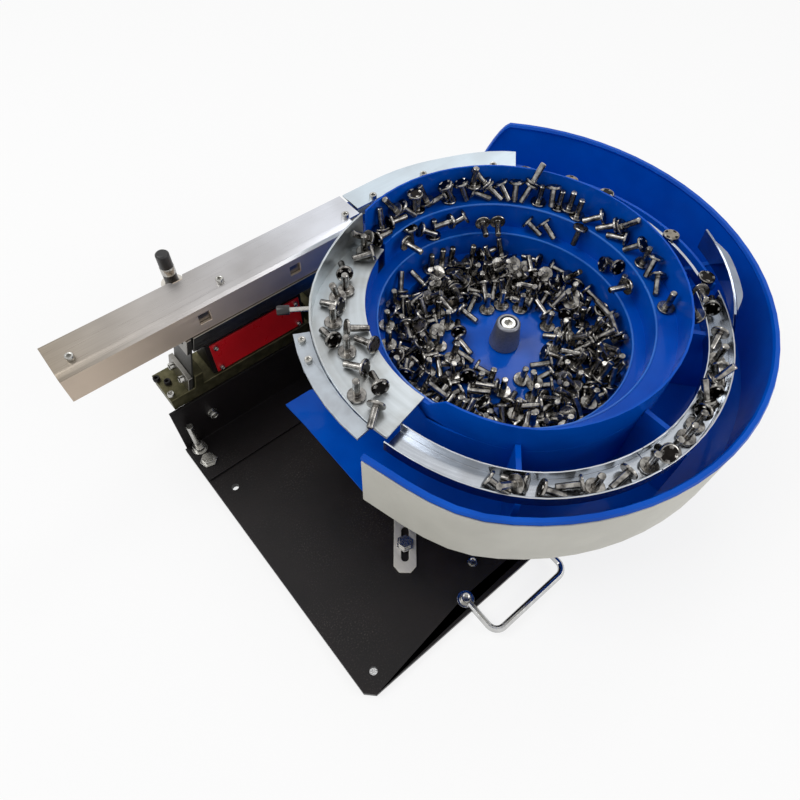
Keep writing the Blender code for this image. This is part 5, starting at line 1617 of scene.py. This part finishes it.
@dataclass
class StudBatch(Assembly):
    """All studs on the feeder: heaped by simulation, or hung in the rails."""

    trough: Trough
    stud: Stud = field(default_factory=Stud)
    seed: int = 20
    heap_layers: int = 5
    heap_rings: tuple[tuple[int, int], ...] = ((94, 18), (124, 25))
    heap_base: float = 228.0
    layer_rise: float = 27.0
    upright_share: float = 0.7
    row_end: float = 108.0
    outer_row_start: float = -40.0
    outer_row_inset: float = 5.2
    outer_row_pitch: float = 21.0
    outer_row_lean: float = 12.0
    crowded_pitch: float = 17.0
    second_row_start: float = -5.0
    second_row_share: float = 0.9
    second_row_inset: float = 5.0
    second_row_rise: float = 32.0
    lower_row_start: float = -25.0
    lower_row_inset: float = 5.5
    lower_row_pitch: float = 18.0
    lower_row_lean: float = 2.0
    foot_gap: float = 3.0
    tray_count: int = 18
    tray_start: float = 115.0
    tray_step: float = 4.1
    tray_radius: float = 163.0
    tray_scatter: float = 8.0
    tray_heights: Span = (222.0, 236.0)
    pairs: tuple[int, ...] = (-141, -134, -119, -107, -97, -88, -79, -70, -61, -51, -41)
    pair_places: tuple[Point, ...] = ((0.0, 202.0, 198.0), (4.5, 206.0, 216.0))
    dam: tuple[Span, ...] = ((33, 126), (66, 182), (0, 236))
    guarded: tuple[int, int] = (-60, 110)
    guard_step: int = 5
    guard_height: float = 34.0
    pale_share: float = 0.24
    rail_top: float = 198.1
    rail_gap: float = 17.6
    open_rail: tuple[float, ...] = (-29.5, -11.0, 14.0, 26.0, 41.0)
    covered_rail: tuple[float, int] = (50.0, 10)
    track_line: float = 214.0
    track_span: Span = (-386.0, -60.0)
    fixed: tuple[str, ...] = (
        "bowl_shell",
        "bowl_skirt",
        "cone_nut",
        "selector_tray",
        "tray_guide",
        "trough_channel_1",
        "trough_channel_2",
        "hanging_rail_inner",
        "hanging_rail_outer",
        "return_pan",
        "deflector",
    )

    def drops(self) -> list[Drop]:
        """Lay out every loose stud above its resting place by one seeded draw.

        Returns:
            The groups, each with its starting places.
        """
        draw = random.Random(self.seed)

        def loose(x: float, y: float, z: float) -> Matrix:
            """A stud at a point, turned any way."""
            turn = Euler([draw.uniform(0, FULL_TURN) for _ in range(3)]).to_matrix().to_4x4()
            return Matrix.Translation((x, y, z)) @ turn

        def standing(azimuth: float, radius: float, z: float, tilt: float) -> Matrix:
            """A stud on its shank's tip or its head, its top leaning outwards.

            Args:
                azimuth: Its azimuth in degrees.
                radius: Its radius about the bowl's axis.
                z: Height of its lower end.
                tilt: How far it leans, in degrees.

            Returns:
                Its starting place.
            """
            turn = Matrix.Rotation(math.radians(azimuth + draw.uniform(-15, 15)), 4, "Z")
            lean = Matrix.Rotation(math.radians(tilt + draw.uniform(-4, 4)), 4, "Y")
            foot = Matrix.Translation((*around(azimuth, radius), z))
            upright = draw.random() < self.upright_share
            rise = self.stud.shank_length if upright else self.stud.head_height
            flip = Matrix.Identity(4) if upright else Matrix.Rotation(math.pi, 4, "X")
            return foot @ turn @ lean @ Matrix.Translation((0, 0, rise)) @ flip

        def lying(azimuth: float, radius: float, z: float) -> Matrix:
            """A stud on its side along the way of travel, facing either way.

            Args:
                azimuth: Its azimuth in degrees.
                radius: Its radius about the bowl's axis.
                z: Its height.

            Returns:
                Its starting place.
            """
            way = azimuth + draw.choice((-90, 90)) + draw.uniform(-14, 14)
            turn = Matrix.Rotation(math.radians(way), 4, "Z")
            lean = Matrix.Rotation(math.radians(82 + draw.uniform(-8, 8)), 4, "Y")
            return Matrix.Translation((*around(azimuth, radius), z)) @ turn @ lean

        heap = []
        for layer in range(self.heap_layers):
            for radius, count in self.heap_rings:
                for i in range(count):
                    azimuth = 360 * (i + 0.5 * (layer % 2)) / count + draw.uniform(-3, 3)
                    x, y = around(azimuth, radius + draw.uniform(-3, 3))
                    heap.append(loose(x, y, self.heap_base + self.layer_rise * layer))
        track = []
        lean = self.outer_row_lean
        azimuth = self.outer_row_start
        while azimuth < self.row_end:
            inner, height = SPIRAL.inner(azimuth), SPIRAL.height(azimuth)
            foot = height + self.foot_gap
            track.append(standing(azimuth, inner + self.outer_row_inset, foot, lean))
            if azimuth > self.second_row_start and draw.random() < self.second_row_share:
                top = height + self.second_row_rise
                track.append(standing(azimuth + 3, inner + self.second_row_inset, top, lean))
            pitch = self.crowded_pitch if azimuth > 0 else self.outer_row_pitch
            azimuth += math.degrees(pitch / inner)
        lean = self.lower_row_lean
        azimuth = self.lower_row_start
        while azimuth < self.row_end:
            inner, height = SPIRAL.inner(azimuth - 360), SPIRAL.height(azimuth - 360)
            foot = height + self.foot_gap
            track.append(standing(azimuth, inner + self.lower_row_inset, foot, lean))
            azimuth += math.degrees(self.lower_row_pitch / inner)
        tray = []
        for i in range(self.tray_count):
            azimuth = self.tray_start + i * self.tray_step
            # The tray widens with its azimuth, up to its straight end.
            reach = self.tray_radius + 0.3 * min(70, azimuth - 112)
            reach += draw.uniform(-self.tray_scatter, self.tray_scatter)
            tray.append(loose(*around(azimuth, reach), self.tray_heights[i % 2]))
        chute = []
        for azimuth in self.pairs:
            for ahead, radius, height in self.pair_places:
                chute.append(lying(azimuth + ahead, radius + draw.uniform(-3, 3), height))
        return [
            Drop("bowl_studs", heap, reach=152),
            Drop("track_studs", track, reach=182),
            Drop("tray_studs", tray, floor=150),
            Drop("trough_studs", chute, floor=170),
        ]

    def settle(self, groups: list[Drop]) -> dict[str, list[Matrix]]:
        """Let every group fall together and give each stud's resting place.

        Args:
            groups: The groups with their starting places.

        Returns:
            For each group's name the places, in millimetres.
        """
        world = Simulation()
        world.start()
        for node in self.fixed:
            mesh = self.shop.frame["nodes"][node].data.copy()
            mesh.transform(Matrix.Scale(world.scale, 4))
            world.add("fixed_" + node, mesh, "PASSIVE", "MESH")
        # A spindle over the nut keeps the middle of the floor clear.
        spindle = plain_mesh(Sketch().lathe(self.dam).mesh, "spindle")
        spindle.transform(Matrix.Scale(world.unit, 4))
        world.add("fixed_spindle", spindle, "PASSIVE", "CONVEX_HULL")
        for number, turn in enumerate((0, 360)):
            fence = self.guard(turn, world.unit)
            world.add(f"fixed_guard_{number}", fence, "PASSIVE", "MESH")
        stud = self.stud
        head = world.prism(stud.head_radius - 0.2, 0.0, stud.head_height)
        shank = world.prism(stud.shank_radius - 0.2, -stud.shank_length, 0.4)
        hub = world.prism(1.0, -8.0, 2.0)
        falling: dict[str, list[bpy.types.Object]] = {}
        for group in groups:
            falling[group.name] = []
            for place in group.places:
                start = place.copy()
                start.translation = place.translation * world.unit
                parent = world.add("falling", hub, "ACTIVE", "COMPOUND")
                parent.matrix_world = start
                for mesh in (head, shank):
                    world.add("part", mesh, "ACTIVE", "CONVEX_HULL").parent = parent
                falling[group.name].append(parent)
        world.run()
        found = {name: [world.place(i) for i in items] for name, items in falling.items()}
        world.clear()
        return found

    def guard(self, back: float, unit: float) -> bpy.types.Mesh:
        """A fence along the inner edge of a turn, for the simulation only.

        Args:
            back: Degrees of spiral before the outer turn.
            unit: Size of a millimetre in the simulation.

        Returns:
            The fence's mesh.
        """
        corners, faces = [], []
        start, end = self.guarded
        for i, azimuth in enumerate(range(start, end + 1, self.guard_step)):
            x, y = around(azimuth, SPIRAL.inner(azimuth - back) + 0.5)
            low = SPIRAL.height(azimuth - back) + 1
            for z in (low, low + self.guard_height):
                corners.append((x * unit, y * unit, z * unit))
            if i:
                faces.append((2 * i - 2, 2 * i, 2 * i + 1, 2 * i - 1))
        made = bpy.data.meshes.new("guard")
        made.from_pydata(corners, [], faces)
        return made

    def gather(self, name: str, places: Sequence[Matrix], body: str) -> None:
        """Join copies of the stud at their places into one piece.

        Args:
            name: The piece's name.
            places: One matrix a stud, in millimetres.
            body: The CAD body it rides on.
        """
        source = self.stud.mesh()
        draw = random.Random(len(places))
        tool = bmesh.new()
        for place in places:
            copy = source.copy()
            copy.transform(place)
            # Painted light in the notches: dark heads take the bright shank colour there as a
            # painted glint, pale heads the dark face colour as painted shade.
            pale = draw.random() < self.pale_share
            face_tone_and_notch_light = {0: 0, Stud.FACE: 2 if pale else 1, Stud.NOTCH: 1 if pale else 0}
            for face in copy.polygons:
                face.material_index = face_tone_and_notch_light[face.material_index]
            tool.from_mesh(copy)
            bpy.data.meshes.remove(copy)
        mesh = plain_mesh(tool, name)
        mesh.transform(Matrix.Scale(MM, 4))
        picks = [face.material_index for face in mesh.polygons]
        self.shop.publish(mesh, name, STUD_SHANK, body)
        for finish in (STUD_FACE, STUD_FACE_PALE):
            mesh.materials.append(finish.material())
        mesh.polygons.foreach_set("material_index", picks)

    def hanging(self) -> tuple[list[Matrix], list[Matrix]]:
        """Places of the studs that hang by their heads in the two slots.

        Returns:
            Those in the hanging rail, then those in the straight track.
        """
        draw = random.Random(self.seed + 1)
        first, count = self.covered_rail
        sway = 0.05
        step = math.degrees(self.rail_gap / self.trough.rail_radius)
        on_rails = []
        for azimuth in (*self.open_rail, *(first + i * step for i in range(count))):
            x, y = around(azimuth, self.trough.cover_radius(azimuth))
            tilts = [draw.uniform(-sway, sway) for _ in range(2)]
            lean = Euler((*tilts, draw.uniform(0, 6)))
            turn = lean.to_matrix().to_4x4()
            on_rails.append(Matrix.Translation((x, y, self.rail_top)) @ turn)
        on_track = []
        x, end = self.track_span
        while x < end:
            turn = Matrix.Rotation(draw.uniform(0, 6), 4, "Z")
            on_track.append(Matrix.Translation((x, self.track_line, self.rail_top)) @ turn)
            x += self.rail_gap + draw.choice((0.0, 0.0, 0.0, 9.0))
        return on_rails, on_track

    def build(self) -> None:
        """Settle the loose studs, hang the others and make the pieces."""
        groups = self.drops()
        settled = self.settle(groups)
        for group in groups:
            kept = [place for place in settled[group.name] if group.keeps(place)]
            LOG.info("%s: %d of %d kept", group.name, len(kept), len(group.places))
            self.gather(group.name, kept, "bowl")
        on_rails, on_track = self.hanging()
        self.gather("rail_studs", on_rails, "bowl")
        self.gather("discharge_studs", on_track, "linear_top")


@dataclass
class Studio:
    """Camera, lamps, white surroundings and a pale floor."""

    eye: Point = (-377.2, -255.6, 668.4)
    right: Point = (0.76875845, -0.63913508, 0.02273325)
    forward: Point = (0.37045892, 0.41605357, -0.83045747)
    lens: float = 28.162
    sensor: float = 36.0
    clip: Span = (0.01, 50)
    floor_size: float = 8.0
    floor_tone: float = 0.93
    floor_glow: float = 0.8
    surround: float = 0.5

    def build(self) -> None:
        """Set up the whole studio."""
        self.camera()
        self.world()
        self.lamp("window_light", (-1.3, 0.9, 2.1), (0, 0, 0.1), 1.4, 24)
        self.lamp("ceiling_light", (1.22, 0.72, 1.95), (0.0, 0, 0.1), 0.55, 4.5)
        self.lamp("side_light", (1.0, -1.5, 1.3), (0.05, 0, 0.1), 1.0, 10)
        self.floor()
        bpy.context.scene.view_settings.view_transform = "Standard"

    def camera(self) -> None:
        """Stand the camera where the object is seen as in the photograph."""
        data = bpy.data.cameras.new("camera")
        data.lens = self.lens
        data.sensor_width = self.sensor
        data.clip_start, data.clip_end = self.clip
        item = add_object("camera", data)
        right = Vector(self.right).normalized()
        forward = Vector(self.forward).normalized()
        up = right.cross(forward)
        turn = Matrix((right, up, -forward)).transposed().to_4x4()
        item.matrix_world = Matrix.Translation(Vector(self.eye) * MM) @ turn
        bpy.context.scene.camera = item

    def lamp(self, name: str, at: Point, to: Point, size: float, power: float) -> None:
        """Hang a square soft light.

        Args:
            name: The lamp's name.
            at: Its place in metres.
            to: The point it faces.
            size: Its side in metres.
            power: Its power in watts.
        """
        data = bpy.data.lights.new(name, "AREA")
        data.shape = "SQUARE"
        data.size = size
        data.energy = power
        item = add_object(name, data)
        item.location = at
        item.rotation_euler = (Vector(to) - Vector(at)).to_track_quat("-Z", "Y").to_euler()

    def world(self) -> None:
        """White where it is seen or mirrored, a soft grey as a light."""
        made = bpy.data.worlds.new("surroundings")
        tree = empty_tree(made)
        soft, white = (
            add_node(tree, "ShaderNodeBackground", {0: (1, 1, 1, 1), 1: strength}).outputs[0]
            for strength in (self.surround, 1.0)
        )
        seen = self.direct_ray(tree)
        both = add_node(tree, "ShaderNodeMixShader", {0: seen, 1: soft, 2: white})
        add_node(tree, "ShaderNodeOutputWorld", {0: both.outputs[0]})
        bpy.context.scene.world = made

    @staticmethod
    def direct_ray(tree: Tree) -> Socket:
        """One where a ray comes from the camera, a mirror or through glass.

        Args:
            tree: The nodes of the world or the floor.

        Returns:
            The socket that carries it.
        """
        path = add_node(tree, "ShaderNodeLightPath")
        seen = path.outputs["Is Camera Ray"]
        for name in ("Is Glossy Ray", "Is Transmission Ray"):
            seen = add_node(
                tree, "ShaderNodeMath", {0: seen, 1: path.outputs[name]}, operation="MAXIMUM"
            ).outputs[0]
        return seen

    def floor(self) -> None:
        """A wide white floor that keeps the object's soft shadow."""
        half, tone = self.floor_size / 2, self.floor_tone
        mesh = bpy.data.meshes.new("floor")
        mesh.from_pydata(
            [(-half, -half, 0), (half, -half, 0), (half, half, 0), (-half, half, 0)],
            [],
            [(0, 1, 2, 3)],
        )
        item = add_object("floor", mesh)
        made = bpy.data.materials.new("white_studio_floor")
        tree = empty_tree(made)
        matt = add_node(tree, "ShaderNodeBsdfDiffuse", {0: (tone, tone, tone, 1)})
        glow = add_node(tree, "ShaderNodeEmission", {0: (1, 1, 1, 1), 1: 1.0})
        share = add_node(
            tree,
            "ShaderNodeMath",
            {0: self.direct_ray(tree), 1: self.floor_glow},
            operation="MULTIPLY",
        ).outputs[0]
        both = add_node(
            tree, "ShaderNodeMixShader", {0: share, 1: matt.outputs[0], 2: glow.outputs[0]}
        )
        add_node(tree, "ShaderNodeOutputMaterial", {0: both.outputs[0]})
        mesh.materials.append(made)


def clear_scene() -> None:
    """Remove what Blender starts with."""
    for item in list(bpy.data.objects):
        bpy.data.objects.remove(item)


def corners(box: tuple[Vector, Vector]) -> list[list[float]]:
    """A box's two corners as plain lists of numbers."""
    return [[float(value) for value in corner] for corner in box]


def main() -> None:
    """Build the whole scene in order."""
    logging.basicConfig(level=logging.INFO, format="%(name)s %(message)s")
    clear_scene()
    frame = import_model()
    shop = Workshop(frame)
    Studio().build()
    trough = Trough(shop)
    for assembly in (
        BaseAssembly(shop),
        BowlDrive(shop),
        Bowl(shop),
        ReturnPan(shop),
        Selector(shop),
        trough,
        LinearDrive(shop),
        DischargeTrack(shop),
        StudBatch(shop, trough),
    ):
        LOG.info("building %s", type(assembly).__name__)
        assembly.build()


if __name__ == "__main__":
    main()
